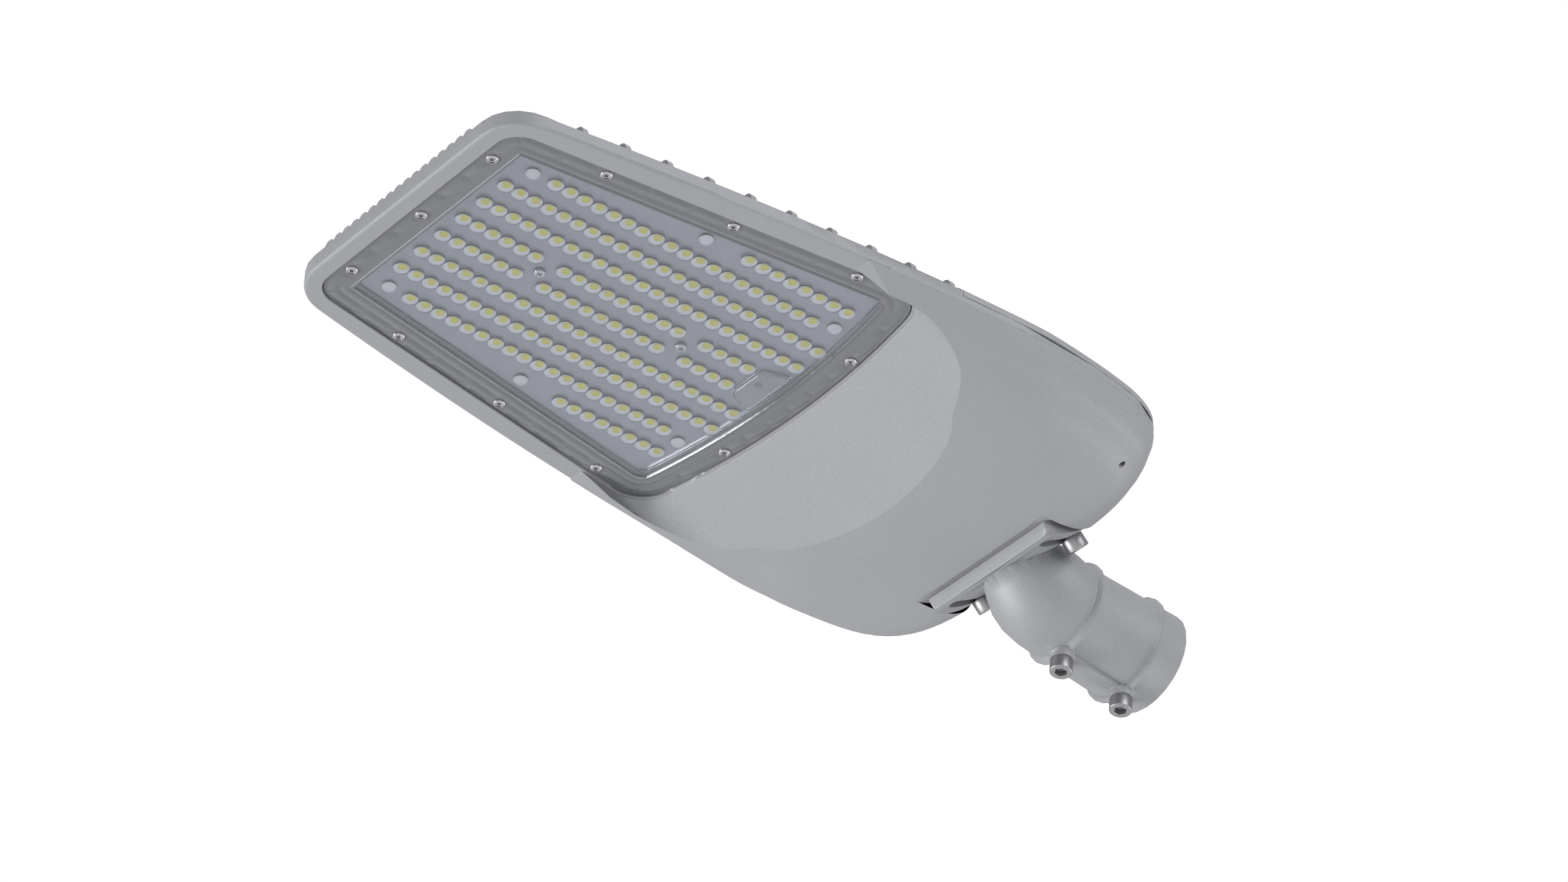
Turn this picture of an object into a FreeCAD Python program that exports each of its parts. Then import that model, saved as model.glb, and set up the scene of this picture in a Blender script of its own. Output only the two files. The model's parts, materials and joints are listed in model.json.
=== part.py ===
import FreeCAD, Part
import math
import os

from FreeCAD import Placement, Rotation, Vector

# LED street light head. Frame: origin at the mouth of the spigot bore, +X towards the nose
# of the lamp, +Z up; the light leaves towards -Z. Millimetres.

SIZES = [
    ("nose_reach", 661.0, "spigot mouth to the nose"),
    ("tail_reach", 104.0, "spigot mouth to the tail of the body"),
    ("tail_centre", 205.0, "where the tail curve starts"),
    ("shoulder_at", 235.0, "where the sides start to narrow towards the nose"),
    ("half_width", 172.5, "half width of the body"),
    ("nose_half", 120.6, "half width the sides would have at the nose"),
    ("taper_power", 1.55, "power of the side curve"),
    ("tail_power", 4.5, "power of the tail curve"),
    ("tail_taper_at", 245.0, "where the body starts to narrow towards the tail"),
    ("tail_taper", 0.0152, "rate of that narrowing"),
    ("corner_radius", 34.0, "nose corners"),
    ("rim_level", 56.0, "lower face of the rim"),
    ("rim_height", 9.4, "side wall of the front tray"),
    ("crown_rise", 5.6, "deck above the side wall"),
    ("crown_inset", 14.0, "width of the sloped deck edge"),
    ("recess_front", 649.0, "front edge of the lens recess"),
    ("recess_rear", 320.5, "rear edge of the lens recess on the centre line"),
    ("recess_half_front", 113.0, "half width of the recess at its front station"),
    ("recess_half_rear", 149.0, "half width of the recess at its rear station"),
    ("recess_front_station", 626.0, "station of the front half width"),
    ("recess_rear_station", 375.0, "station of the rear half width"),
    ("recess_arc", 700.0, "radius of the rear edge of the recess"),
    ("recess_front_corner", 20.0, "front corners of the recess"),
    ("recess_rear_corner", 28.0, "rear corners of the recess"),
    ("ledge_depth", 6.5, "rim face to the ledge that carries the lens"),
    ("ledge_width", 21.0, "width of the ledge"),
    ("board_seat_depth", 10.8, "rim face to the seat of the LED board"),
    ("lens_gap", 0.4, "gap round the lens cover"),
    ("lens_setback", 1.5, "lens flange behind the rim face"),
    ("lens_foot_gap", 0.3, "lens flange to the ledge"),
    ("pane_thickness", 2.5, "window pane"),
    ("pane_step", 0.8, "window stands proud of the flange"),
    ("gasket_inset", 11.5, "recess edge to the lens gasket"),
    ("gasket_width", 3.0, "lens gasket"),
    ("gasket_height", 1.5, "lens gasket, pressed"),
    ("lens_screw_inset", 6.8, "recess edge to the lens screws"),
    ("lens_screw_head", 8.5, "head of the M5 lens screws"),
    ("lens_screw_head_height", 3.5, "head height"),
    ("lens_screw_shank", 5.0, "M5"),
    ("lens_screw_length", 8.0, "under the head"),
    ("head_proud", 0.2, "lens screw heads behind the rim face"),
    ("board_gap", 0.5, "LED board to the wall"),
    ("board_thickness", 1.6, "LED board"),
    ("led_pitch", 12.0, "LED pitch along the lamp"),
    ("led_row_pitch", 22.775, "LED pitch across the lamp"),
    ("led_first", 614.9, "first LED column"),
    ("chip_size", 3.5, "LED chip"),
    ("chip_height", 0.8, "LED chip"),
    ("optic_gap", 0.3, "lens sheet over the chips"),
    ("optic_sheet", 1.2, "lens sheet"),
    ("dome_radius", 5.7, "LED lens"),
    ("dome_height", 3.4, "LED lens"),
    ("bulge_slope", 0.53, "rise of the crescent face over its run"),
    ("crescent_lip", 2.0, "flat between the lens recess and the crescent face"),
    ("wall", 5.0, "casting wall"),
    ("floor_level", 13.5, "lowest face of the driver compartment"),
    ("parting_level", 61.0, "top of the compartment rim"),
    ("parting_gap", 0.3, "cover over the rim"),
    ("cover_front", 317.0, "front edge of the driver cover"),
    ("cover_top", 92.0, "top of the driver cover"),
    ("cover_wall", 3.5, "driver cover wall"),
    ("rim_land", 14.0, "top face of the compartment rim"),
    ("seal_inset", 6.0, "outer edge to the cover gasket"),
    ("seal_width", 4.0, "cover gasket"),
    ("seal_groove", 1.7, "groove of the cover gasket"),
    ("rib_count", 10.0, "side ribs on each side"),
    ("rib_first", 605.3, "front side rib"),
    ("rib_pitch", 31.07, "side rib pitch"),
    ("rib_width", 4.6, "side rib"),
    ("rib_rise", 7.2, "side rib above the side wall"),
    ("rib_run", 5.5, "width of the rounded outer end of a rib"),
    ("rib_climb", 0.12, "slope of the side ribs towards the fins"),
    ("fin_count", 17.0, "cooling fins"),
    ("fin_pitch", 9.5, "fin pitch"),
    ("fin_thickness", 2.6, "fin"),
    ("fin_top", 86.0, "top of the fins"),
    ("fin_rear", 331.0, "rear end of the fins"),
    ("scallop_rise", 2.7, "rise of a scallop on the nose edge"),
    ("scallop_foot", 3.4, "foot of the scallops above the side wall"),
    ("scallop_length", 18.0, "scallops from the nose inwards"),
    ("tilt", 5.0, "tilt of the spigot against the lamp"),
    ("bore_radius", 31.5, "spigot bore"),
    ("bore_depth", 88.0, "spigot bore"),
    ("mouth_radius", 38.5, "spigot at its mouth"),
    ("root_radius", 36.2, "spigot at its root"),
    ("tube_length", 84.0, "straight part of the spigot"),
    ("ring_near", 23.5, "outer ring rib and clamp bolt from the mouth"),
    ("ring_far", 78.5, "inner ring rib and clamp bolt from the mouth"),
    ("ring_width", 4.0, "ring rib"),
    ("ring_height", 3.3, "ring rib"),
    ("arc_x", 179.3, "axis of the curved flange, along the lamp"),
    ("arc_z", 90.4, "axis of the curved flange, height"),
    ("flange_outer", 89.0, "outer radius of the curved flange"),
    ("flange_thickness", 10.0, "curved flange"),
    ("flange_half", 62.7, "half width of the flange"),
    ("flange_start", 20.0, "flange angle from straight down, front edge"),
    ("flange_end", 66.0, "flange angle from straight down, rear edge"),
    ("flange_corner", 9.0, "flange corners"),
    ("flange_gap", 4.0, "flange to the side of its seat"),
    ("seat_wall", 7.0, "wall behind the flange"),
    ("seat_start", 15.5, "seat angle from straight down, front edge"),
    ("bolt_side", 47.3, "flange bolts from the centre line"),
    ("bolt_angle", 45.7, "flange bolts, angle from straight down"),
    ("slot_start", 24.3, "slot, angle of its front end"),
    ("slot_end", 50.0, "slot, angle of its rear end"),
    ("slot_width", 11.0, "slot"),
    ("neck_angle", 42.0, "centre of the neck on the flange"),
    ("neck_half_width", 26.5, "neck at the flange, across"),
    ("neck_half_height", 30.0, "neck at the flange, along the arc"),
    ("neck_bulge", 8.2, "rounding of the underside of the neck"),
    ("wire_radius", 13.0, "wire way through the spigot"),
    ("bolt_head", 16.0, "M10 socket head"),
    ("bolt_head_height", 10.0, "M10 socket head"),
    ("bolt_shank", 10.0, "M10"),
    ("bolt_hex", 8.0, "socket across flats"),
    ("bolt_hex_depth", 5.0, "socket depth"),
    ("flange_bolt_length", 27.0, "under the head"),
    ("hole_clearance", 0.15, "shank to hole, radial"),
    ("boss_radius", 8.8, "clamp bolt boss"),
    ("boss_near", 6.3, "outer boss over the tube"),
    ("boss_far", 6.0, "inner boss over the tube"),
    ("clamp_tip_gap", 0.5, "clamp bolt tip to the bore"),
    ("seat_play", 0.1, "bolt heads over curved faces"),
    ("tray_level", 44.0, "gear tray underside"),
    ("tray_thickness", 2.0, "gear tray"),
    ("tray_rear", 150.0, "gear tray rear edge"),
    ("tray_front", 280.0, "gear tray front edge"),
    ("tray_half", 122.0, "gear tray half width"),
    ("post_radius", 6.0, "posts under the tray"),
    ("post_rear", 166.0, "rear posts"),
    ("post_front", 264.0, "front posts"),
    ("post_side", 108.0, "posts from the centre line"),
    ("driver_length", 190.0, "LED driver, across the lamp"),
    ("driver_width", 66.0, "LED driver, along the lamp"),
    ("driver_height", 37.0, "LED driver"),
    ("driver_at", 236.0, "LED driver centre"),
    ("drain_x", 144.9, "drain holes"),
    ("drain_y", 132.8, "drain holes"),
    ("drain_radius", 2.2, "drain holes"),
    ("cover_screw_front", 296.0, "front cover screws"),
    ("cover_screw_rear", 140.0, "rear cover screws"),
    ("cover_screw_front_side", 136.0, "front cover screws from the centre line"),
    ("cover_screw_rear_side", 124.0, "rear cover screws from the centre line"),
    ("pillar_radius", 8.0, "pillars of the cover screws"),
    ("wire_hole_level", 73.0, "wire way between LED chamber and compartment"),
    ("wire_hole_radius", 4.0, "the same"),
    ("wire_hole_at", 356.0, "where the wires leave the LED chamber"),
    ("wire_cover_front", 367.5, "front edge of the wire cover"),
    ("wire_cover_length", 22.5, "wire cover along the lamp"),
    ("wire_cover_half_front", 16.6, "wire cover half width at the front"),
    ("wire_cover_half_rear", 25.0, "wire cover half width at the rear"),
    ("wire_cover_height", 3.3, "wire cover"),
    ("board_screw_front", 542.9, "front board screw"),
    ("board_screw_rear", 422.9, "rear board screw"),
    ("arris", 2.0, "rounded lower edge of the rim"),
]

doc = FreeCAD.newDocument("street_light_head")
sheet = doc.addObject("Spreadsheet::Sheet", "sizes")
for row, (alias, value, note) in enumerate(SIZES, start=1):
    sheet.set("A%d" % row, note)
    sheet.set("B%d" % row, str(value))
    sheet.setAlias("B%d" % row, alias)
doc.recompute()


def size(alias):
    """Value of one cell of the size sheet."""
    return float(sheet.get(alias))


def count(alias):
    """Whole number from the size sheet."""
    return int(round(size(alias)))


def bind(item, **rules):
    """Ties properties of a document object to the size sheet.

    A rule is written with @ before each alias; x, y and z place the object.
    """
    places = {"x": ".Placement.Base.x", "y": ".Placement.Base.y", "z": ".Placement.Base.z"}
    for name, rule in rules.items():
        item.setExpression(places.get(name, name), rule.replace("@", sheet.Name + "."))
    return item


def box(name, length, width, height, x, y, z):
    """Box with its sizes and its low corner given as rules."""
    item = doc.addObject("Part::Box", name)
    return bind(item, Length=length, Width=width, Height=height, x=x, y=y, z=z)


def cylinder(name, radius, height, x="0", y="0", z="0", turn=None):
    """Cylinder along +Z, or turned, from its base centre."""
    item = doc.addObject("Part::Cylinder", name)
    if turn is not None:
        item.Placement = Placement(Vector(), turn)
    return bind(item, Radius=radius, Height=height, x=x, y=y, z=z)


def rod(name, radius, height, x="0", y="0", z="0", turn=None, sides=8):
    """Many sided rod along +Z, or turned, from its base centre."""
    item = doc.addObject("Part::Prism", name)
    item.Polygon = sides
    if turn is not None:
        item.Placement = Placement(Vector(), turn)
    return bind(item, Circumradius=radius, Height=height, x=x, y=y, z=z)


def form(name, shape):
    """Document object with a worked out shape."""
    item = doc.addObject("Part::Feature", name)
    item.Shape = shape
    return item


def fuse(name, items):
    """Union of document objects."""
    item = doc.addObject("Part::MultiFuse", name)
    item.Shapes = items
    item.Refine = True
    return item


def cut(name, base, tools):
    """Base with the tools taken away."""
    tool = tools[0] if len(tools) == 1 else fuse(name + "_tools", tools)
    item = doc.addObject("Part::Cut", name)
    item.Base = base
    item.Tool = tool
    return item


def common(name, one, other):
    """What two document objects share."""
    item = doc.addObject("Part::Common", name)
    item.Base = one
    item.Tool = other
    return item


def prism(name, wire, foot, height, direction=None):
    """Solid swept from a flat closed wire, from the level foot by the rule height."""
    profile = form(name + "_outline", Part.Face(wire))
    bind(profile, z=foot)
    item = doc.addObject("Part::Extrusion", name)
    item.Base = profile
    item.DirMode = "Custom"
    item.Dir = direction or Vector(0, 0, 1)
    item.Solid = True
    return bind(item, LengthFwd=height)


def ring(name, outer, inner, foot, height):
    """Flat ring between two closed wires."""
    hole = prism(name + "_hole", inner, foot, height)
    return cut(name, prism(name + "_disc", outer, foot, height), [hole])


def polygon(points):
    """Closed wire through corner points."""
    return Part.makePolygon([Vector(*p) for p in points] + [Vector(*points[0])])


def skinned(rings):
    """Closed solid with flat facets between rings of points, each with as many, the lowest first."""
    faces = [Part.Face(polygon(rings[0])), Part.Face(polygon(rings[-1]))]
    number = len(rings[0])
    for low, high in zip(rings, rings[1:]):
        for k in range(number):
            after = (k + 1) % number
            faces.append(Part.Face(polygon([low[k], low[after], high[k]])))
            faces.append(Part.Face(polygon([low[after], high[after], high[k]])))
    return Part.Solid(Part.Shell(faces))


def lifted(ring_points, level):
    """Ring of points moved to a level."""
    return [Vector(p.x, p.y, level) for p in ring_points]


def facet_rod(radius, height, base, outward=Vector(0, 0, 1), sides=8):
    """Many sided solid rod from its base centre along a direction."""
    turn = Rotation(Vector(0, 0, 1), outward)
    steps = [2 * math.pi * k / sides for k in range(sides)]
    ring_points = [base + turn.multVec(Vector(radius * math.cos(a), radius * math.sin(a), 0)) for a in steps]
    return Part.Face(polygon(ring_points)).extrude(outward * height)


def piece(name, item):
    """Names a finished sub-part after its file."""
    item.Label = name
    PIECES.append(item)
    return item


PIECES = []
REACH = 400.0
CHORD = 0.15
CORNER_STEPS = 5
COVER_STEPS = 4
SIDE_STEPS = 7
TAIL_STEPS = 11
SPIGOT_AXIS = Vector(math.cos(math.radians(size("tilt"))), 0, math.sin(math.radians(size("tilt"))))
SPIGOT_TURN = Rotation(Vector(0, 0, 1), SPIGOT_AXIS)


def arc_point(radius, angle, side=0.0):
    """Point round the flange axis; the angle counts from straight down towards the tail."""
    turn = math.radians(angle)
    x = size("arc_x") - radius * math.sin(turn)
    z = size("arc_z") - radius * math.cos(turn)
    return Vector(x, side, z)


def arc_normal(angle):
    """Outward direction at an angle round the flange axis."""
    turn = math.radians(angle)
    return Vector(-math.sin(turn), 0, -math.cos(turn))


def tail_factor(station):
    """Share of the half width that is left behind the widest station."""
    run = max(size("tail_taper_at") - station, 0.0)
    return 1.0 - size("tail_taper") * run ** 1.44 / size("half_width")


def side_point(station, inset):
    """Point of the body side and its outward direction, at a station along the lamp."""
    run = max(station - size("shoulder_at"), 0.0)
    power = size("taper_power")
    span = size("nose_reach") - size("shoulder_at")
    rate = (size("half_width") - size("nose_half")) / span ** power
    half = size("half_width") * tail_factor(station) - rate * run ** power
    lean = math.atan(rate * power * run ** (power - 1)) if run else 0.0
    outward = Vector(math.sin(lean), math.cos(lean), 0)
    return Vector(station, half, 0) - outward * inset, outward


def egg_point(turn, centre, half, rear, front, front_power):
    """Point of an egg shaped outline at a polar angle, 0 towards the nose."""
    c = math.cos(turn)
    s = math.sin(turn)
    power = front_power if c > 0 else size("tail_power")
    reach = front if c > 0 else rear
    radius = ((abs(c) / reach) ** power + (abs(s) / half) ** power) ** (-1.0 / power)
    station = centre + radius * c
    return Vector(station, radius * s * tail_factor(station), 0)


def egg(level, half, rear, front, samples=42):
    """Ring of points on an egg shaped outline at a level."""
    turns = [2 * math.pi * k / samples for k in range(samples)]
    return lifted([egg_point(turn, size("tail_centre"), half, rear, front, 2.0) for turn in turns], level)


def body_outline(inset):
    """Ring of points round the whole body seen from below, moved inwards by inset."""
    nose = size("nose_reach") - inset
    radius = size("corner_radius") - inset
    low = size("shoulder_at")
    high = nose
    for _ in range(40):
        middle = (low + high) / 2
        point, outward = side_point(middle, inset)
        if (point - outward * radius).x > nose - radius:
            high = middle
        else:
            low = middle
    end, outward = side_point(low, inset)
    centre = end - outward * radius
    half_ring = []
    for k in range(CORNER_STEPS):
        turn = math.atan2(outward.y, outward.x) * k / CORNER_STEPS
        half_ring.append(centre + Vector(math.cos(turn), math.sin(turn), 0) * radius)
    for k in range(SIDE_STEPS):
        station = low + (size("tail_centre") - low) * k / SIDE_STEPS
        half_ring.append(side_point(station, inset)[0])
    rear = size("tail_centre") - size("tail_reach") - inset
    half = size("half_width") - inset
    for k in range(TAIL_STEPS + 1):
        turn = math.pi / 2 * (1 + k / TAIL_STEPS)
        half_ring.append(egg_point(turn, size("tail_centre"), half, rear, REACH, 2.0))
    flip = [Vector(p.x, -p.y, 0) for p in reversed(half_ring[:-1])]
    return half_ring + flip


def recess_wire(inset):
    """Outline of the lens recess, moved inwards by inset, its arcs in short chords."""
    front = size("recess_front")
    station_f = size("recess_front_station")
    station_r = size("recess_rear_station")
    half_f = size("recess_half_front")
    half_r = size("recess_half_rear")
    slope = (half_r - half_f) / (station_f - station_r)
    lean = math.atan(slope)
    outward = Vector(math.sin(lean), math.cos(lean), 0)
    radius = size("recess_arc")
    axis = Vector(size("recess_rear") + radius, 0, 0)
    origin = Vector(station_f, half_f, 0)
    along = Vector(outward.y, -outward.x, 0)
    corner_f = size("recess_front_corner")
    centre_f = origin - outward * corner_f
    centre_f = centre_f + along * ((front - corner_f - centre_f.x) / along.x)
    corner_r = size("recess_rear_corner")
    base = origin - outward * corner_r - axis
    middle = base.dot(along)
    reach = math.sqrt(middle ** 2 - base.dot(base) + (radius - corner_r) ** 2)
    centre_r = origin - outward * corner_r + along * (-middle - reach)
    front_radius = corner_f - inset
    rear_radius = corner_r - inset
    if front_radius < 2.0:
        centre_f = centre_f + Vector(-(2.0 - front_radius), -(2.0 - front_radius), 0)
        front_radius = 2.0
    rear_way = (centre_r - axis).normalize()
    p1 = centre_f + Vector(front_radius, 0, 0)
    p3 = centre_f + outward * front_radius
    p2 = centre_f + (Vector(1, 0, 0) + outward).normalize() * front_radius
    p4 = centre_r + outward * rear_radius
    p6 = centre_r + rear_way * rear_radius
    p5 = centre_r + (outward + rear_way).normalize() * rear_radius
    p7 = Vector(size("recess_rear") + inset, 0, 0)

    def flip(p):
        return Vector(p.x, -p.y, 0)

    edges = [
        Part.LineSegment(flip(p1), p1),
        Part.Arc(p1, p2, p3),
        Part.LineSegment(p3, p4),
        Part.Arc(p4, p5, p6),
        Part.Arc(p6, p7, flip(p6)),
        Part.Arc(flip(p6), flip(p5), flip(p4)),
        Part.LineSegment(flip(p4), flip(p3)),
        Part.Arc(flip(p3), flip(p2), flip(p1)),
    ]
    corners = []
    for edge in edges:
        corners += edge.toShape().discretize(Deflection=CHORD)[:-1]
    return polygon(corners)


# Lower body: egg shaped sections from the rim down to the flat floor.
TAIL = size("tail_centre") - size("tail_reach")
HALF = size("half_width")
FLOOR = size("floor_level")
RIM = size("rim_level")
SECTIONS = [
    (RIM, HALF, TAIL, 530.0),
    (FLOOR + 38.0, HALF - 2.2, TAIL - 0.4, 425.0),
    (FLOOR + 32.8, HALF - 5.5, TAIL - 1.0, 338.0),
    (FLOOR + 28.0, HALF - 9.4, TAIL - 2.0, 267.0),
    (FLOOR + 23.7, HALF - 14.5, TAIL - 3.5, 215.0),
    (FLOOR + 17.6, HALF - 20.5, TAIL - 6.5, 142.0),
    (FLOOR + 12.5, HALF - 27.5, TAIL - 10.5, 93.0),
    (FLOOR + 8.6, HALF - 38.5, TAIL - 15.5, 76.0),
    (FLOOR + 5.5, HALF - 54.5, TAIL - 21.0, 62.0),
    (FLOOR + 2.0, HALF - 87.5, TAIL - 30.0, 41.0),
    (FLOOR, HALF - 118.0, TAIL - 43.0, 26.0),
]
DROP = Vector(-1, 0, -size("bulge_slope")).normalize()
BULGE_FRONT = 395.0


def crescent_cutter(name, rise):
    """Oblique prism under the lens, whose rear face is the crescent face of the bulge."""
    outline = recess_wire(-size("crescent_lip"))
    station = size("recess_rear_station")
    half = HALF + 90.0
    front = size("nose_reach") + REACH
    block = Part.Face(polygon([(station, -half, 0), (front, -half, 0), (front, half, 0), (station, half, 0)]))
    shadow = Part.Face(outline).fuse(block).removeSplitter()
    profile = form(name + "_outline", Part.Face(shadow.Faces[0].OuterWire))
    bind(profile, z="@rim_level + %g" % rise)
    item = doc.addObject("Part::Extrusion", name)
    item.Base = profile
    item.DirMode = "Custom"
    item.Dir = DROP
    item.Solid = True
    item.LengthFwd = REACH
    return item


def side_band(name, x, length, low, high):
    """Wide box across the lamp, used to limit other solids."""
    return box(name, length, "900", "(%s) - (%s)" % (high, low), x, "-450", low)


bulge = form("bulge", skinned([egg(*section) for section in SECTIONS]))
front_limit = box("front_limit", "600", "900", "200", str(BULGE_FRONT), "-450", "-20")
belly = cut("belly", cut("bulge_short", bulge, [front_limit]), [crescent_cutter("crescent", 0.0)])
rim_block = common("rim_block", prism("rim_prism", polygon(body_outline(0.0)), "@rim_level", "@parting_level - @rim_level"),
                   side_band("rim_limit", "0", "@recess_rear_station", "@rim_level - 5", "@parting_level + 5"))

# Front tray: rounded lower arris, wall, crowned deck, scalloped nose edge, side ribs and fins.
arris = size("arris")
arris_steps = []
for turn in (0.0, math.pi / 4, math.pi / 2):
    inset = arris * (1 - math.sin(turn))
    arris_steps.append(lifted(body_outline(inset), RIM + arris * (1 - math.cos(turn))))
wall_top = RIM + size("rim_height")
deck_level = wall_top + size("crown_rise")
edge = form("edge", skinned(arris_steps))
tray = prism("tray", polygon(body_outline(0.0)), "@rim_level + @arris", "@rim_height - @arris")
crown = form("crown", skinned([lifted(body_outline(0.0), wall_top),
                               lifted(body_outline(size("crown_inset")), deck_level)]))


def scallop_wire():
    """Row of flat arcs along the top of the nose wall, in a plane across the lamp."""
    pitch = size("fin_pitch")
    number = count("fin_count")
    foot = wall_top + size("scallop_foot")
    low = RIM + size("arris")
    start = -pitch * number / 2
    corners = []
    for k in range(number):
        left = Vector(0, start + pitch * k, foot)
        right = left + Vector(0, pitch, 0)
        top = (left + right) * 0.5 + Vector(0, 0, size("scallop_rise"))
        corners += Part.Arc(left, top, right).toShape().discretize(4)[:-1]
    corners += [Vector(0, -start, foot), Vector(0, -start + pitch, low), Vector(0, start - pitch, low)]
    return polygon(corners)


scallops = doc.addObject("Part::Extrusion", "scallops")
scallops.Base = bind(form("scallops_outline", Part.Face(scallop_wire())), x="@nose_reach")
scallops.DirMode = "Custom"
scallops.Dir = Vector(-1, 0, 0)
scallops.Solid = True
bind(scallops, LengthFwd="@scallop_length")


def rib_solid(station, way):
    """Side rib with a rounded outer end that starts at the top of the side wall."""
    half_thick = size("rib_width") / 2
    foot = side_point(station + half_thick, 0.0)[0].y - 0.2
    inner = size("fin_pitch") * count("fin_count") / 2 - 2.0
    low = wall_top - 5.0
    top = wall_top + size("rib_rise")
    run = size("rib_run")
    heel = wall_top - 0.8
    corners = [Vector(0, foot, low)]
    for turn in (0.0, math.pi / 6, math.pi / 3, math.pi / 2):
        corners.append(Vector(0, foot - run * (1 - math.cos(turn)), heel + (top - heel) * math.sin(turn)))
    corners += [Vector(0, inner, top + (foot - run - inner) * size("rib_climb")), Vector(0, inner, low)]
    face = Part.Face(polygon(corners))
    if way < 0:
        face = face.mirror(Vector(), Vector(0, 1, 0))
    return face.translated(Vector(station - half_thick, 0, 0)).extrude(Vector(2 * half_thick, 0, 0))


def fin_solid(k):
    """One cooling fin, rounded down towards the nose."""
    thick = size("fin_thickness")
    y = (k - (count("fin_count") - 1) / 2) * size("fin_pitch") - thick / 2
    nose = size("nose_reach") - 5.0
    rear = size("fin_rear")
    top = size("fin_top")
    low = deck_level - 3.0
    fall = nose - 62.0
    knee = Vector(nose - 22.0, y, top - 5.5)
    toe = Vector(nose, y, low + 1.0)
    corners = [Vector(rear, y, low), Vector(rear + 2.0, y, top)]
    corners += Part.Arc(Vector(fall, y, top), knee, toe).toShape().discretize(3)
    corners.append(Vector(nose, y, low))
    return Part.Face(polygon(corners)).extrude(Vector(0, thick, 0))


stations = [size("rib_first") - k * size("rib_pitch") for k in range(count("rib_count"))]
ribs = form("ribs", Part.Compound([rib_solid(x, way) for x in stations for way in (1, -1)]))
fins = form("fins", Part.Compound([fin_solid(k) for k in range(count("fin_count"))]))
ramp_start = size("nose_reach") - size("scallop_length") * 2
ramp_top = wall_top + size("scallop_foot")
ramp_wire = polygon([(ramp_start - 5.0, 0, wall_top - 5.0), (ramp_start - 5.0, 0, wall_top), (ramp_start, 0, wall_top),
                     (size("nose_reach") + 5.0, 0, ramp_top), (size("nose_reach") + 5.0, 0, wall_top - 5.0)])
ramp_solid = Part.Face(ramp_wire).extrude(Vector(0, 2 * HALF, 0)).translated(Vector(0, -HALF, 0))
nose_ramp = common("nose_ramp", form("ramp_wedge", ramp_solid),
                   prism("nose_prism", polygon(body_outline(0.0)), "@rim_level + @arris", "@rim_height + 10"))
rear_limit = side_band("rear_limit", "0", "@cover_front", "@rim_level - 20", "@fin_top + 20")
front_block = cut("front_block", fuse("front_raw", [edge, tray, crown, scallops, nose_ramp]), [rear_limit])

# Compartment: cavity inside the bulge, seat wall behind the curved flange, posts and pillars.
LAND = size("rim_land")
WALL = size("wall")
CAVITY = [
    (size("parting_level") + 12.0, LAND, 0),
    (RIM - 2.0, LAND, 0),
    (SECTIONS[2][0] + 1.5, 9.0, 2),
    (SECTIONS[4][0] + 4.0, WALL, 4),
    (SECTIONS[6][0] + WALL, WALL, 6),
    (SECTIONS[8][0] + WALL, WALL, 8),
    (FLOOR + WALL, WALL + 12.0, 9),
]


def cavity_section(level, inset, index):
    """Inner outline that follows one of the outer sections."""
    outer = SECTIONS[index]
    return egg(level, outer[1] - inset, outer[2] - inset, outer[3] - inset, 26)


cavity_loft = form("cavity_loft", skinned([cavity_section(*row) for row in CAVITY]))
cavity_front = box("cavity_front", "600", "900", "200", "@cover_front - 9", "-450", "-20")
wall_rise = WALL * math.sqrt(1 + size("bulge_slope") ** 2)
cavity = cut("cavity", cavity_loft, [cavity_front, crescent_cutter("crescent_inner", wall_rise)])


def sector(name, inner, outer, start, end, half):
    """Part of a ring round the flange axis, between two angles, centred on the lamp."""
    middle = (start + end) / 2
    points = [arc_point(outer, start), arc_point(outer, middle), arc_point(outer, end)]
    back = [arc_point(inner, end), arc_point(inner, middle), arc_point(inner, start)]
    edges = [Part.Arc(*points).toShape(), Part.LineSegment(points[2], back[0]).toShape()]
    edges += [Part.Arc(*back).toShape(), Part.LineSegment(back[2], points[0]).toShape()]
    face = form(name + "_outline", Part.Face(Part.Wire(edges)))
    bind(face, y="-(%s)" % half)
    item = doc.addObject("Part::Extrusion", name)
    item.Base = face
    item.DirMode = "Custom"
    item.Dir = Vector(0, 1, 0)
    item.Solid = True
    return bind(item, LengthFwd="2 * (%s)" % half)


def along_arc(name, radius, height, angle, side, start, sides=12):
    """Rod that points outwards from the flange axis."""
    item = doc.addObject("Part::Prism", name)
    item.Polygon = sides
    item.Placement = Placement(arc_point(start, angle, side), Rotation(Vector(0, 0, 1), arc_normal(angle)))
    return bind(item, Circumradius=radius, Height=height)


FLANGE_OUTER = size("flange_outer")
SEAT = FLANGE_OUTER - size("flange_thickness")
SEAT_INNER = SEAT - size("seat_wall")
seat_half = "@flange_half + @flange_gap"
seat_ring = sector("seat_ring", SEAT_INNER, SEAT + 3.0, size("seat_start") - 9.0, 96.0, seat_half + " + @wall")
pocket = sector("flange_pocket", SEAT, SEAT + 70.0, size("seat_start"), 118.0, seat_half)
BOLT_SEAT = FLANGE_OUTER + size("seat_play")
BOLT_TIP = BOLT_SEAT - size("flange_bolt_length")
bolt_bosses = []
bolt_holes = []
for tag, way in (("left", 1), ("right", -1)):
    place = (size("bolt_angle"), way * size("bolt_side"))
    bolt_bosses.append(along_arc("bolt_boss_" + tag, "8", "14", *place, SEAT - 14.5))
    bolt_holes.append(along_arc("bolt_hole_" + tag, "@bolt_shank / 2 + @hole_clearance", "60",
                                *place, BOLT_TIP - 1.0))
INLET_SIDES = 16
wire_inlet = along_arc("wire_inlet", "14", "30", size("neck_angle"), 0.0, SEAT_INNER - 12.0, INLET_SIDES)

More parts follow.
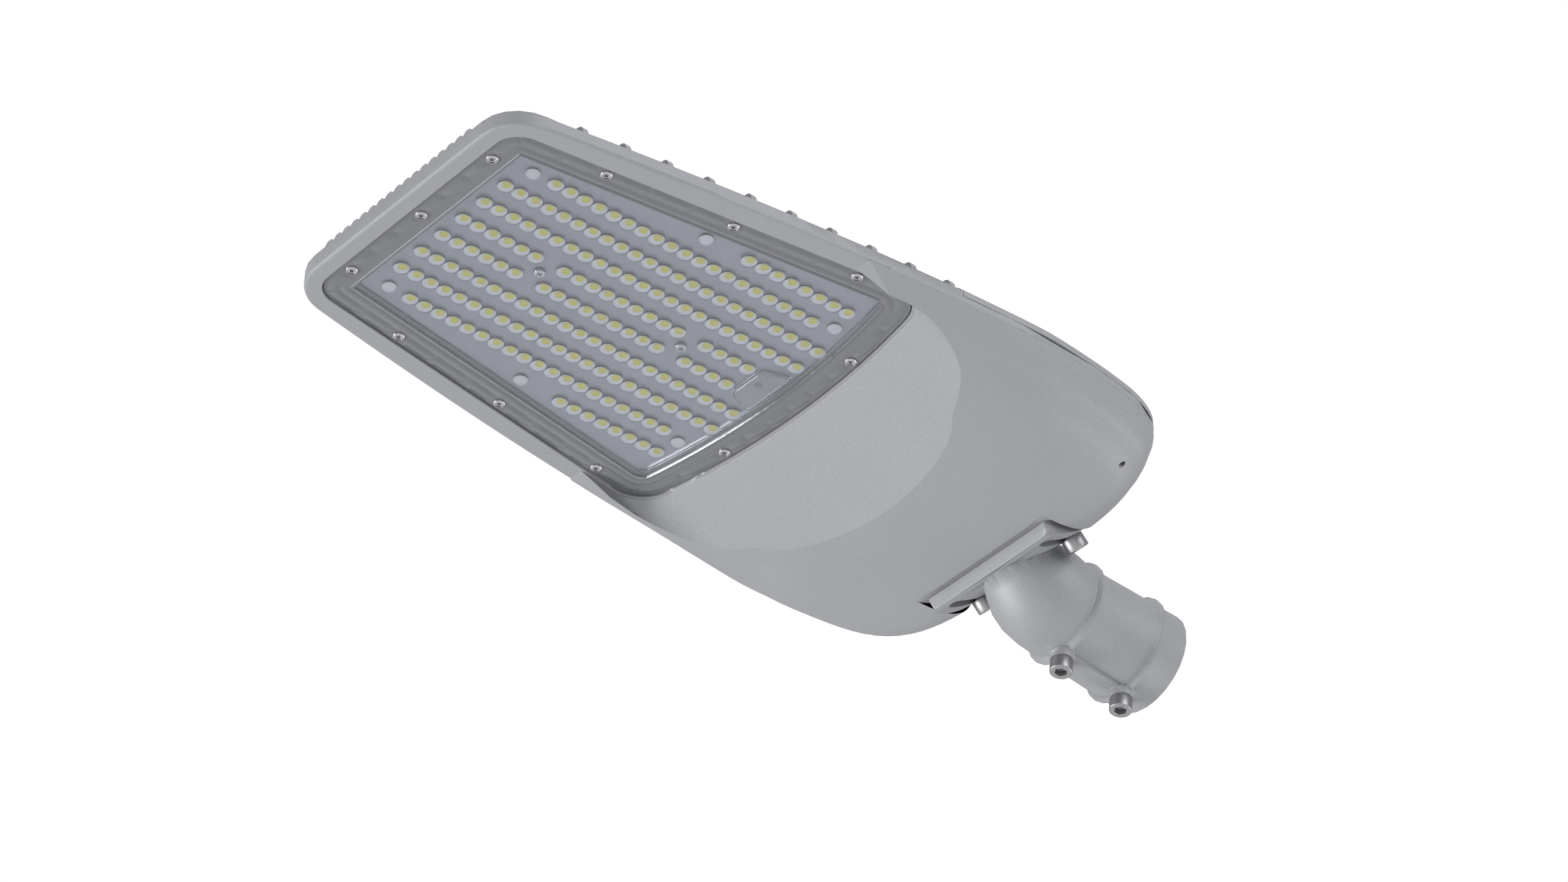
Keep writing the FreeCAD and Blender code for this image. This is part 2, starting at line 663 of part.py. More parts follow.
POSTS = [(x, y) for x in ("@post_rear", "@post_front") for y in ("@post_side", "-@post_side")]
PILLARS = [
    ("@cover_screw_front", "@cover_screw_front_side"), ("@cover_screw_front", "-@cover_screw_front_side"),
    ("@cover_screw_rear", "@cover_screw_rear_side"), ("@cover_screw_rear", "-@cover_screw_rear_side"),
]
EARTH = ("138", "-92")
uprights = []
for k, (x, y) in enumerate(POSTS):
    uprights.append(rod("post_%d" % k, "@post_radius", "@tray_level", x, y, "0", sides=12))
for k, (x, y) in enumerate(PILLARS):
    uprights.append(rod("pillar_%d" % k, "@pillar_radius", "@parting_level", x, y, "0", sides=12))
uprights.append(rod("earth_post", "@post_radius", "@tray_level", *EARTH, "0", sides=12))
fill = fuse("fill", [bulge, rim_block])
inner_works = common("inner_works", fuse("inner_raw", [seat_ring] + uprights + bolt_bosses), fill)
inner_trim = cut("inner_trim", inner_works, [crescent_cutter("crescent_trim", 0.0)])
holes = [rod("post_hole_%d" % k, "2 + @hole_clearance", "12", x, y, "@tray_level - 11")
         for k, (x, y) in enumerate(POSTS)]
holes += [rod("pillar_hole_%d" % k, "2.5 + @hole_clearance", "18", x, y, "@parting_level - 17")
          for k, (x, y) in enumerate(PILLARS)]
holes.append(rod("earth_hole", "2.5 + @hole_clearance", "13", *EARTH, "@tray_level - 12"))
holes += [rod("drain_" + tag, "@drain_radius", "40", "@drain_x", y, "0")
          for tag, y in (("left", "@drain_y"), ("right", "-@drain_y"))]

# Wire way from the LED chamber over the rim into the compartment.
EAST = Rotation(Vector(0, 0, 1), Vector(1, 0, 0))
wire_boss = box("wire_boss", "@wire_hole_at + 14 - @cover_front", "24", "@wire_hole_level + 7 - @rim_level - 12",
                "@cover_front", "-12", "@rim_level + 12")
wire_drop = rod("wire_drop", "@wire_hole_radius", "@wire_hole_level - @rim_level", "@wire_hole_at", "0",
                     "@rim_level")
wire_hole = rod("wire_hole", "@wire_hole_radius", "@wire_hole_at + 2 - @cover_front + 20",
                     "@cover_front - 20", "0", "@wire_hole_level", EAST)

# Lens recess, board chamber and the screw holes in the ledge.
recess = prism("recess", recess_wire(0.0), "@rim_level - 3", "@ledge_depth + 3")
chamber = prism("chamber", recess_wire(size("ledge_width")), "@rim_level", "@board_seat_depth")


def lens_screw_places():
    """Eleven places on a line inside the recess edge: front, sides and rear."""
    wire = recess_wire(size("lens_screw_inset"))
    front = size("recess_front") - size("lens_screw_inset") - 1.6
    places = [Vector(front, y, 0) for y in (-77.0, 0.0, 77.0)]
    for station in (574.9, 479.7, 385.6):
        probe = Part.LineSegment(Vector(station, 0, 0), Vector(station, REACH, 0)).toShape()
        point = wire.distToShape(probe)[1][0][0]
        places += [Vector(station, way * point.y, 0) for way in (1, -1)]
    rear = 67.8
    probe = Part.LineSegment(Vector(0, rear, 0), Vector(REACH, rear, 0)).toShape()
    point = wire.distToShape(probe)[1][0][0]
    places += [Vector(point.x, way * rear, 0) for way in (1, -1)]
    return places


LENS_SCREWS = lens_screw_places()


def many(name, radius, foot, height, places):
    """Equal upright rods as one compound."""
    solids = [facet_rod(radius, height, Vector(p.x, p.y, foot)) for p in places]
    return form(name, Part.Compound(solids))


HOLE = size("hole_clearance")
LENS_SEAT = RIM + size("head_proud") + size("lens_screw_head_height")
LENS_TIP = LENS_SEAT + size("lens_screw_length")
LENS_SHANK = size("lens_screw_shank") / 2
ledge_holes = many("ledge_holes", LENS_SHANK + HOLE, RIM, LENS_TIP + 0.5 - RIM, LENS_SCREWS)
BOARD_SCREWS = [Vector(size("board_screw_front"), 0, 0), Vector(size("board_screw_rear"), 0, 0)]
BOARD_FACE = RIM + size("board_seat_depth") - size("board_thickness")
board_holes = many("board_holes", 2.0 + HOLE, BOARD_FACE, 5.0, BOARD_SCREWS)

# Cover gasket in its groove: round the tail and across behind the front wall.
SEAL_FRONT = "@cover_front - 8"


def seal(name, play, foot, height):
    """Gasket track, widened by play on each side."""
    outer = polygon(body_outline(size("seal_inset") - play))
    inner = polygon(body_outline(size("seal_inset") + size("seal_width") + play))
    track = ring(name + "_track", outer, inner, foot, height)
    open_end = box(name + "_end", "700", "900", "100", SEAL_FRONT, "-450", "0")
    bar = box(name + "_bar", "@seal_width + %g" % (2 * play), "2 * (@half_width - @seal_inset - 4)", height,
              SEAL_FRONT + " - %g" % play, "-(@half_width - @seal_inset - 4)", foot)
    return fuse(name, [cut(name + "_u", track, [open_end]), bar])


groove = seal("groove", 0.2, "@parting_level - @seal_groove", "@seal_groove + 1")
shell = cut("shell", fuse("castings", [belly, rim_block, front_block]), [cavity])
casting = fuse("casting", [shell, inner_trim, ribs, fins, wire_boss])
housing_cuts = [recess, chamber, ledge_holes, board_holes, pocket, wire_drop, wire_hole, wire_inlet, groove]
housing = piece("housing", cut("housing", casting, housing_cuts + bolt_holes + holes))

# Driver cover: domed shell on the rim, with screw wells and a notch for the wire plug.
COVER_FOOT = size("parting_level") + size("parting_gap")
COVER_RISE = size("cover_top") - COVER_FOOT
COVER_OUTER = [(0.0, 0.0), (0.15, 0.2), (0.27, 3.6), (0.48, 11.5), (0.7, 23.5), (0.88, 42.0), (1.0, 68.0)]


def cover_outline(level, inset):
    """Ring of points round the rear body, closed by a straight edge in front of the cover."""
    front = size("cover_front") + 30.0
    half_ring = []
    for k in range(COVER_STEPS):
        station = front + (size("tail_centre") - front) * k / COVER_STEPS
        half_ring.append(side_point(station, 0.0)[0] - Vector(0, inset, 0))
    for k in range(TAIL_STEPS + 1):
        turn = math.pi / 2 * (1 + k / TAIL_STEPS)
        half_ring.append(egg_point(turn, size("tail_centre"), HALF - inset, TAIL - inset, REACH, 2.0))
    return lifted(half_ring + [Vector(p.x, -p.y, 0) for p in reversed(half_ring[:-1])], level)


def cover_loft(name, rows):
    """Stacked outlines joined by flat facets."""
    return form(name, skinned([cover_outline(*row) for row in rows]))


cover_outer = cover_loft("cover_outer", [(COVER_FOOT + COVER_RISE * k, inset) for k, inset in COVER_OUTER])
skin = size("cover_wall")
inner_rows = [(COVER_FOOT - 1.0, LAND), (COVER_FOOT + COVER_RISE * 0.34, LAND)]
inner_rows += [(COVER_FOOT + COVER_RISE * k - skin, inset + skin) for k, inset in COVER_OUTER[3:]]
cover_inner = cover_loft("cover_inner", inner_rows)
cover_nose = box("cover_nose", "200", "900", "200", "@cover_front - 0.3", "-450", "0")
inner_nose = box("inner_nose", "200", "900", "200", "@cover_front - 9", "-450", "0")
cover_room = cut("cover_room", cover_inner, [inner_nose])
WELL = 6.5
wells = []
well_walls = []
for k, (x, y) in enumerate(PILLARS):
    wells.append(rod("well_%d" % k, str(WELL), "60", x, y, "@parting_level + @parting_gap + 4", sides=12))
    wells.append(rod("well_hole_%d" % k, "2.5 + @hole_clearance", "60", x, y, "@parting_level - 5"))
    well_walls.append(rod("well_wall_%d" % k, str(WELL + 2.5), "60", x, y, "@parting_level + @parting_gap",
                          sides=12))
well_trim = common("well_trim", fuse("well_raw", well_walls), cover_outer)
plug_notch = box("plug_notch", "12", "18.2", "@wire_hole_level + 6.2 - @parting_level - @parting_gap + 1",
                 "@cover_front - 10", "-9.1", "@parting_level + @parting_gap - 1")
cover_shell = fuse("cover_shell", [cut("cover_hollow", cover_outer, [cover_room]), well_trim])
driver_cover = piece("driver_cover", cut("driver_cover", cover_shell, [cover_nose, plug_notch] + wells))
cover_gasket = piece("cover_gasket", seal("cover_gasket", 0.0, "@parting_level - @seal_groove",
                                          "@seal_groove + @parting_gap"))


def screw(name, head_radius, head_height, shank_radius, shank_length, places, up=True, sides=6):
    """Group of plain headed screws; the head lies above the seat, or below it."""
    solids = []
    for p in places:
        if up:
            head = facet_rod(head_radius, head_height, p, sides=sides)
            shank = facet_rod(shank_radius, shank_length, p - Vector(0, 0, shank_length), sides=sides)
        else:
            head = facet_rod(head_radius, head_height, p - Vector(0, 0, head_height), sides=sides)
            shank = facet_rod(shank_radius, shank_length, p, sides=sides)
        solids.append(head.fuse(shank).removeSplitter())
    return piece(name, form(name, Part.Compound(solids)))


def at(x, y, level):
    """Point whose x and y are rules of the size sheet."""
    def value(rule):
        way = -1.0 if rule.startswith("-") else 1.0
        rule = rule.lstrip("-")
        return way * (size(rule[1:]) if rule.startswith("@") else float(rule))
    return Vector(value(x), value(y), level)


screw("cover_screws", 4.25, 5.0, 2.5, 17.0, [at(x, y, COVER_FOOT + 4.0) for x, y in PILLARS])

# Lens cover: flange on the ledge, window pane, gasket, screws.
FLANGE_FACE = RIM + size("lens_setback")
LEDGE = RIM + size("ledge_depth")
PANE_FACE = FLANGE_FACE - size("pane_step")
PANE_BACK = PANE_FACE + size("pane_thickness")
flange_disc = prism("lens_flange_disc", recess_wire(size("lens_gap")), "@rim_level + @lens_setback",
                    "@ledge_depth - @lens_setback - @lens_foot_gap")
room_inset = size("ledge_width") - 2.0
window_room = prism("window_room", recess_wire(room_inset), "@rim_level", "@ledge_depth")
pane = prism("pane", recess_wire(room_inset - 3.0), "@rim_level + @lens_setback - @pane_step", "@pane_thickness")
gasket_room = ring("gasket_room", recess_wire(size("gasket_inset") - 0.5),
                   recess_wire(size("gasket_inset") + size("gasket_width") + 0.5),
                   "@rim_level + @ledge_depth - @gasket_height", "@gasket_height")
lens_bores = many("lens_bores", LENS_SHANK + HOLE, RIM, 10.0, LENS_SCREWS)
lens_sinks = many("lens_sinks", size("lens_screw_head") / 2 + 0.45, RIM, LENS_SEAT - RIM, LENS_SCREWS)
lens_frame = cut("lens_frame", flange_disc, [window_room, gasket_room])
lens_cover = piece("lens_cover", cut("lens_cover", fuse("lens_body", [lens_frame, pane]), [lens_bores, lens_sinks]))
lens_gasket = piece("lens_gasket", ring("lens_gasket", recess_wire(size("gasket_inset")),
                                        recess_wire(size("gasket_inset") + size("gasket_width")),
                                        "@rim_level + @ledge_depth - @gasket_height", "@gasket_height"))
screw("lens_screws", size("lens_screw_head") / 2, size("lens_screw_head_height"), LENS_SHANK,
      size("lens_screw_length"), [Vector(p.x, p.y, LENS_SEAT) for p in LENS_SCREWS], False)

# LED board, chips and the lens sheet with one lens for each LED.
LED_ROWS = [
    "..............oooooooo.",
    "..ooooooooooooooooooo..",
    "ooooooooooooooooooooooo",
    "ooooooooooooooooooooooo",
    "oooooo.ooooooooo.oooo..",
]
SPACERS = [(609.0, 78.8), (481.8, 100.8), (358.5, 84.2)]


def led_places():
    """Centres of all LEDs: five rows on one side, mirrored to the other."""
    places = []
    for j, row in enumerate(LED_ROWS):
        y = (len(LED_ROWS) - 0.5 - j) * size("led_row_pitch")
        for i, mark in enumerate(row):
            if mark == "o":
                x = size("led_first") - i * size("led_pitch")
                places += [Vector(x, y, 0), Vector(x, -y, 0)]
    return places


LEDS = led_places()
CHIP_FACE = BOARD_FACE - size("chip_height")
SHEET_TOP = CHIP_FACE - size("optic_gap")
SHEET_LOW = SHEET_TOP - size("optic_sheet")
board_inset = size("ledge_width") + size("board_gap")
board_disc = prism("board_disc", recess_wire(board_inset), "@rim_level + @board_seat_depth - @board_thickness",
                   "@board_thickness")
led_board = piece("led_board", cut("led_board", board_disc, [
    many("board_bores", 2.0 + HOLE, BOARD_FACE - 1.0, 5.0, BOARD_SCREWS),
    rod("board_wire_bore", "@wire_hole_radius - 0.5", "5", "@wire_hole_at", "0", "%g" % (BOARD_FACE - 1.0))]))
chip = size("chip_size")
chips = [Part.makeBox(chip, chip, size("chip_height"), Vector(p.x - chip / 2, p.y - chip / 2, CHIP_FACE))
         for p in LEDS]
led_chips = piece("led_chips", form("led_chips", Part.Compound(chips)))


DOME_TIP = 0.66


def lens_dome(p, sides=6):
    """Six sided lens, narrower away from the sheet."""
    rings = []
    top = SHEET_LOW + 0.2
    foot = top - size("dome_height")
    for radius, level in ((size("dome_radius") * DOME_TIP, foot), (size("dome_radius"), top)):
        turns = [2 * math.pi * k / sides for k in range(sides)]
        rings.append([Vector(p.x + radius * math.cos(a), p.y + radius * math.sin(a), level) for a in turns])
    return skinned(rings)


spacer_places = [Vector(x, way * y, 0) for x, y in SPACERS for way in (1, -1)]
domes = form("domes", Part.Compound([lens_dome(p) for p in LEDS + spacer_places]))
sheet_disc = prism("optic_sheet", recess_wire(board_inset + 0.3), "%g" % SHEET_LOW, "@optic_sheet")
lip = ring("optic_lip", recess_wire(board_inset + 0.3), recess_wire(board_inset + 1.8), "%g" % SHEET_LOW,
           "%g" % (BOARD_FACE - SHEET_LOW))
spacers = many("optic_spacers", 3.4, SHEET_LOW + 0.1, BOARD_FACE - SHEET_LOW - 0.1, spacer_places)
collars = many("optic_collars", 4.0, SHEET_LOW, BOARD_FACE - SHEET_LOW, BOARD_SCREWS)
optic_bores = many("optic_bores", 2.0 + HOLE, SHEET_LOW - 1.0, 6.0, BOARD_SCREWS)
wire_slot = rod("optic_slot", "@wire_hole_radius", "5", "@wire_hole_at", "0", "%g" % (SHEET_LOW - 1.0))
optic_base = cut("optic_base", fuse("optic_flat", [sheet_disc, lip, spacers, collars]), [optic_bores, wire_slot])
optic_plate = piece("optic_plate", fuse("optic_plate", [optic_base, domes]))
screw("board_screws", 3.9, 2.0, 2.0, 7.0, [Vector(p.x, p.y, SHEET_LOW) for p in BOARD_SCREWS], False)


def wire_cover_ring(level, inset):
    """Corners of the wire cover's trapezium, drawn in by inset."""
    front = size("wire_cover_front") - inset
    rear = size("wire_cover_front") - size("wire_cover_length") + inset
    narrow = size("wire_cover_half_front") - inset
    wide = size("wire_cover_half_rear") - inset
    corners = [(front, -narrow), (front, narrow), (rear, wide), (rear, -wide)]
    return [Vector(x, y, level) for x, y in corners]


cap_low = SHEET_LOW - size("wire_cover_height")
cap_outer = form("cap_outer", skinned([wire_cover_ring(SHEET_LOW, 0.0), wire_cover_ring(cap_low + 1.0, 0.6),
                                       wire_cover_ring(cap_low, 1.6)]))
cap_inner = form("cap_inner", skinned([wire_cover_ring(SHEET_LOW + 0.5, 1.5), wire_cover_ring(cap_low + 1.2, 2.2)]))
wire_cover = piece("wire_cover", cut("wire_cover", cap_outer, [cap_inner]))
plug_block = box("plug_block", "9", "17.6", "@wire_hole_level + 5.8 - @parting_level - @parting_gap",
                 "@cover_front - 9.2", "-8.8", "@parting_level + @parting_gap")
plug_bore = rod("plug_bore", "@wire_hole_radius - 1", "20", "@cover_front - 15", "0", "@wire_hole_level", EAST)
wire_plug = piece("wire_plug", cut("wire_plug", plug_block, [plug_bore]))

# Gear tray with the driver, the terminal block, the surge protector and the earth screw.
TRAY_TOP = size("tray_level") + size("tray_thickness")
tray_plate = box("tray_plate", "@tray_front - @tray_rear", "2 * @tray_half", "@tray_thickness", "@tray_rear",
                 "-@tray_half", "@tray_level")
DRIVER = size("driver_at")
driver_tab = size("driver_length") / 2 + 6.0
DRIVER_SCREWS = [Vector(DRIVER, way * driver_tab, TRAY_TOP + 3.0) for way in (1, -1)]
BLOCK_AT = Vector(171.0, -66.0, TRAY_TOP)
SURGE_AT = Vector(171.0, 62.0, TRAY_TOP)
SMALL_SCREWS = [BLOCK_AT + Vector(0, way * 34.0, 3.0) for way in (1, -1)]
SMALL_SCREWS += [SURGE_AT + Vector(0, way * 30.0, 3.0) for way in (1, -1)]
tray_bores = [many("tray_driver_bores", 2.0 + HOLE, 0.0, 100.0, DRIVER_SCREWS),
              many("tray_small_bores", 1.5 + HOLE, 0.0, 100.0, SMALL_SCREWS)]
for k, (x, y) in enumerate(POSTS):
    tray_bores.append(rod("tray_bore_%d" % k, "2 + @hole_clearance", "10", x, y, "@tray_level - 2"))
gear_tray = piece("gear_tray", cut("gear_tray", tray_plate, tray_bores))
screw("tray_screws", 3.5, 2.6, 2.0, 10.0, [at(x, y, TRAY_TOP) for x, y in POSTS])


def footed(name, centre, length, width, height, foot, bore):
    """Closed case across the lamp with a screw foot at each end, bored for its screws."""
    case = Part.makeBox(width, length, height, centre - Vector(width / 2, length / 2, 0))
    base_length = length + 2 * foot
    base = Part.makeBox(width * 0.7, base_length, 3.0, centre - Vector(width * 0.35, base_length / 2, 0))
    body = case.fuse(base).removeSplitter()
    reach = length / 2 + foot / 2
    for way in (1, -1):
        hole = facet_rod(bore, 20.0, centre + Vector(0, way * reach, -5.0))
        body = body.cut(hole)
    return form(name, body)


piece("led_driver", footed("led_driver", Vector(DRIVER, 0, TRAY_TOP), size("driver_length"), size("driver_width"),
                           size("driver_height"), 12.0, 2.0 + HOLE))
screw("driver_screws", 3.5, 2.6, 2.0, 8.0, DRIVER_SCREWS)
block = footed("block_case", BLOCK_AT, 60.0, 22.0, 18.0, 8.0, 1.5 + HOLE)
funnels = form("funnels", Part.Compound([
    facet_rod(2.4, 8.0, BLOCK_AT + Vector(-11.0 - 1.0, (k - 2.5) * 9.0, 7.0), Vector(1, 0, 0))
    for k in range(6)]))
piece("terminal_block", cut("terminal_block", block, [funnels]))
piece("surge_protector", footed("surge_protector", SURGE_AT, 52.0, 28.0, 24.0, 8.0, 1.5 + HOLE))
screw("small_screws", 2.6, 2.0, 1.5, 7.0, SMALL_SCREWS)
screw("earth_screw", 4.5, 3.4, 2.5, 10.0, [at(*EARTH, size("tray_level"))])

# Inlet grommet in the seat wall.
inlet_way = arc_normal(size("neck_angle"))
GROMMET_COLLAR = 18.0
collar_top = math.sqrt(SEAT_INNER ** 2 - GROMMET_COLLAR ** 2) - 0.3
collar = facet_rod(GROMMET_COLLAR, 3.0, inlet_way * (collar_top - 3.0), inlet_way, INLET_SIDES)
sleeve = facet_rod(14.0 - HOLE, SEAT - 2.0 - collar_top, inlet_way * collar_top, inlet_way, INLET_SIDES)
sleeve_bore = facet_rod(6.0, 30.0, inlet_way * (SEAT_INNER - 10.0), inlet_way, INLET_SIDES)
grommet_solid = collar.fuse(sleeve).removeSplitter().cut(sleeve_bore)
piece("inlet_grommet", form("inlet_grommet", grommet_solid.translated(arc_point(0.0, 0.0))))

# Spigot: bored tube with ring ribs and clamp bosses, neck, curved and slotted flange.
MOUTH = size("mouth_radius")
ROOT = size("root_radius")
TUBE = size("tube_length")
RIB = size("ring_height")
HALF_RING = size("ring_width") / 2
OVAL_SIDES = 24
NECK_STEPS = 6


def tube_radius(along):
    """Outer radius of the slightly tapered tube."""
    return MOUTH + (ROOT - MOUTH) * along / TUBE


def tube_profile():
    """Outer outline of the tube from the mouth to its root, with two ring ribs."""
    rows = [(MOUTH - 1.5, 0.0), (MOUTH, 1.5)]
    for station in (size("ring_near"), size("ring_far")):
        radius = tube_radius(station)
        rows += [(radius, station - HALF_RING - 1.0), (radius + RIB, station - HALF_RING + 1.0)]
        rows += [(radius + RIB, station + HALF_RING - 1.0), (radius, station + HALF_RING + 1.0)]
    rows.append((ROOT, TUBE))
    return rows


DOWN = SPIGOT_TURN.multVec(Vector(1, 0, 0))


def oval(centre, down, half_height, half_width, samples=OVAL_SIDES):
    """Ring of points on an oval, half_height along down and half_width across the lamp."""
    turns = [2 * math.pi * k / samples for k in range(samples)]
    across = Vector(0, 1, 0)
    return [centre + down * (half_height * math.cos(a)) + across * (half_width * math.sin(a)) for a in turns]


tube = form("tube", skinned([oval(SPIGOT_AXIS * along, DOWN, radius, radius) for radius, along in tube_profile()]))


neck_angle = size("neck_angle")
plate_down = arc_normal(neck_angle - 90.0)
plate_centre = arc_point(FLANGE_OUTER - 6.0, neck_angle)
neck_high = size("neck_half_height")
tube_low = SPIGOT_AXIS * TUBE + DOWN * ROOT
tube_high = SPIGOT_AXIS * TUBE - DOWN * ROOT
plate_low = plate_centre + plate_down * neck_high
plate_high = plate_centre - plate_down * neck_high
bulge_way = (DOWN + plate_down).normalize()
middle_low = (tube_low + plate_low) * 0.5 + bulge_way * size("neck_bulge")
middle_high = (tube_high + plate_high) * 0.5
near_low = plate_low * 0.55 + middle_low * 0.45 + bulge_way
near_high = (plate_high + middle_high) * 0.5


def oval_between(low, high, half_width):
    """Oval ring that spans two points of the centre plane."""
    span = low - high
    return oval((low + high) * 0.5, Vector(span).normalize(), span.Length / 2, half_width)


neck_frames = [
    oval(SPIGOT_AXIS * (TUBE - 12.0), DOWN, ROOT, ROOT),
    oval(SPIGOT_AXIS * (TUBE - 2.0), DOWN, ROOT, ROOT),
    oval_between(middle_low, middle_high, ROOT + 1.5),
    oval_between(near_low, near_high, ROOT - 2.5),
    oval(plate_centre, plate_down, neck_high, size("neck_half_width")),
]
neck_lines = []
for line_points in zip(*neck_frames):
    line = Part.BSplineCurve()
    line.interpolate(Points=list(line_points))
    neck_lines.append(line.toShape().discretize(NECK_STEPS + 1))
neck = form("neck", skinned([list(ring_points) for ring_points in zip(*neck_lines)]))
flange_arc = sector("flange_arc", SEAT, FLANGE_OUTER, size("flange_start"), size("flange_end"), "@flange_half")
flange_angle = (size("flange_start") + size("flange_end")) / 2


def rounded_bar(name, angle, half_length, half_width, radius, side=0.0):
    """Rounded rectangle through the flange, square to it at an angle."""
    depth = 60.0
    solid = Part.makeBox(2 * half_length, 2 * half_width, depth, Vector(-half_length, -half_width, -depth / 2))
    solid = solid.makeFillet(radius, [e for e in solid.Edges if abs(e.tangentAt(e.FirstParameter).z) > 0.99])
    normal = arc_normal(angle)
    across = Vector(0, 1, 0)
    along = across.cross(normal)
    item = form(name, solid)
    item.Placement = Placement(arc_point(FLANGE_OUTER - 5.0, angle, side), Rotation(along, across, normal, "ZXY"))
    return item


blank = rounded_bar("flange_blank", flange_angle, FLANGE_OUTER * math.sin(math.radians(flange_angle
                    - size("flange_start"))), size("flange_half"), size("flange_corner"))
flange = common("flange", flange_arc, blank)
slot_angle = (size("slot_start") + size("slot_end")) / 2
slot_half = FLANGE_OUTER * math.sin(math.radians((size("slot_end") - size("slot_start")) / 2))
slot_round = size("slot_width") / 2
slots = [rounded_bar("slot_" + tag, slot_angle, slot_half, slot_round, slot_round - 0.05, way * size("bolt_side"))
         for tag, way in (("left", 1), ("right", -1))]
CLAMPS = [("near", "ring_near", "boss_near"), ("far", "ring_far", "boss_far")]
clamp_bosses = []
clamp_holes = []
clamp_seats = []
for tag, station, rise in CLAMPS:
    foot = SPIGOT_AXIS * size(station) + DOWN * (size("bore_radius") - 1.0)
    seat = tube_radius(size(station)) + size(rise)
    clamp_seats.append((SPIGOT_AXIS * size(station) + DOWN * seat, seat))
    turn = Rotation(Vector(0, 0, 1), DOWN)
    boss = doc.addObject("Part::Prism", "clamp_boss_" + tag)
    boss.Polygon = 20
    boss.Placement = Placement(foot, turn)
    bind(boss, Circumradius="@boss_radius", Height="%g - @bore_radius + 1" % seat)
    clamp_bosses.append(boss)
    hole = doc.addObject("Part::Prism", "clamp_hole_" + tag)
    hole.Polygon = 12
    hole.Placement = Placement(SPIGOT_AXIS * size(station) + DOWN * 20.0, turn)
    bind(hole, Circumradius="@bolt_shank / 2 + @hole_clearance", Height="60")
    clamp_holes.append(hole)
bead = doc.addObject("Part::Box", "bead")
bead.Placement = Placement(SPIGOT_TURN.multVec(Vector(ROOT - 2.0, -5.0, size("ring_near"))), SPIGOT_TURN)
bind(bead, Length="4.5", Width="10", Height="@ring_far - @ring_near")
bore = cylinder("bore", "@bore_radius", "@bore_depth", turn=SPIGOT_TURN)
way_start = SPIGOT_AXIS * (size("bore_depth") - 8.0)
way_line = arc_point(SEAT - 8.0, neck_angle) - way_start
wire_way = doc.addObject("Part::Cylinder", "wire_way")
wire_way.Placement = Placement(way_start, Rotation(Vector(0, 0, 1), way_line))
bind(wire_way, Radius="@wire_radius", Height="%g" % (way_line.Length + 5.0))
inside = sector("inside", 0.5, SEAT, -30.0, 110.0, "@flange_half + 10")
spigot_raw = fuse("spigot_raw", [tube, neck, flange, bead] + clamp_bosses)
spigot = piece("spigot", cut("spigot", spigot_raw, [bore, wire_way, inside] + slots + clamp_holes))


def cap_bolt(seat, outward, length):
    """Socket head bolt: head on the outward side of its seat, shank the other way."""
    head = facet_rod(size("bolt_head") / 2, size("bolt_head_height"), seat, outward, 12)
    shank = facet_rod(size("bolt_shank") / 2, length, seat, outward * -1, 12)
    top = seat + outward * (size("bolt_head_height") - size("bolt_hex_depth"))
    key = facet_rod(size("bolt_hex") / math.sqrt(3), size("bolt_hex_depth"), top, outward, 6)
    return head.fuse(shank).removeSplitter().cut(key)


flange_bolt_list = []
for way in (1, -1):
    seat = arc_point(BOLT_SEAT, size("bolt_angle"), way * size("bolt_side"))
    flange_bolt_list.append(cap_bolt(seat, arc_normal(size("bolt_angle")), size("flange_bolt_length")))
piece("flange_bolts", form("flange_bolts", Part.Compound(flange_bolt_list)))
clamp_list = [cap_bolt(seat, DOWN, reach - size("bore_radius") - size("clamp_tip_gap"))
              for seat, reach in clamp_seats]
piece("clamp_bolts", form("clamp_bolts", Part.Compound(clamp_list)))

doc.recompute()
problems = []
for item in doc.Objects:
    if "Invalid" in item.State or "Error" in item.State:
        problems.append(item.Name + " is in error")
    elif hasattr(item, "Shape") and (item.Shape.isNull() or not item.Shape.isValid()):
        problems.append(item.Name + " has no valid shape")
if problems:
    raise RuntimeError(", ".join(problems))

os.makedirs("parts", exist_ok=True)
for item in PIECES:
    item.Shape.exportStep("parts/" + item.Label + ".step")
    print(item.Label, len(item.Shape.Solids), round(item.Shape.Volume / 1000.0, 1))
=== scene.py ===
"""Dresses the street light head: finishes, fine pieces, light and camera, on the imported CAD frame."""

import json
import logging
import math
from dataclasses import dataclass, field
from enum import Enum
from typing import Callable, Optional, Sequence, Union

import bmesh
import bpy
from mathutils import Matrix, Vector

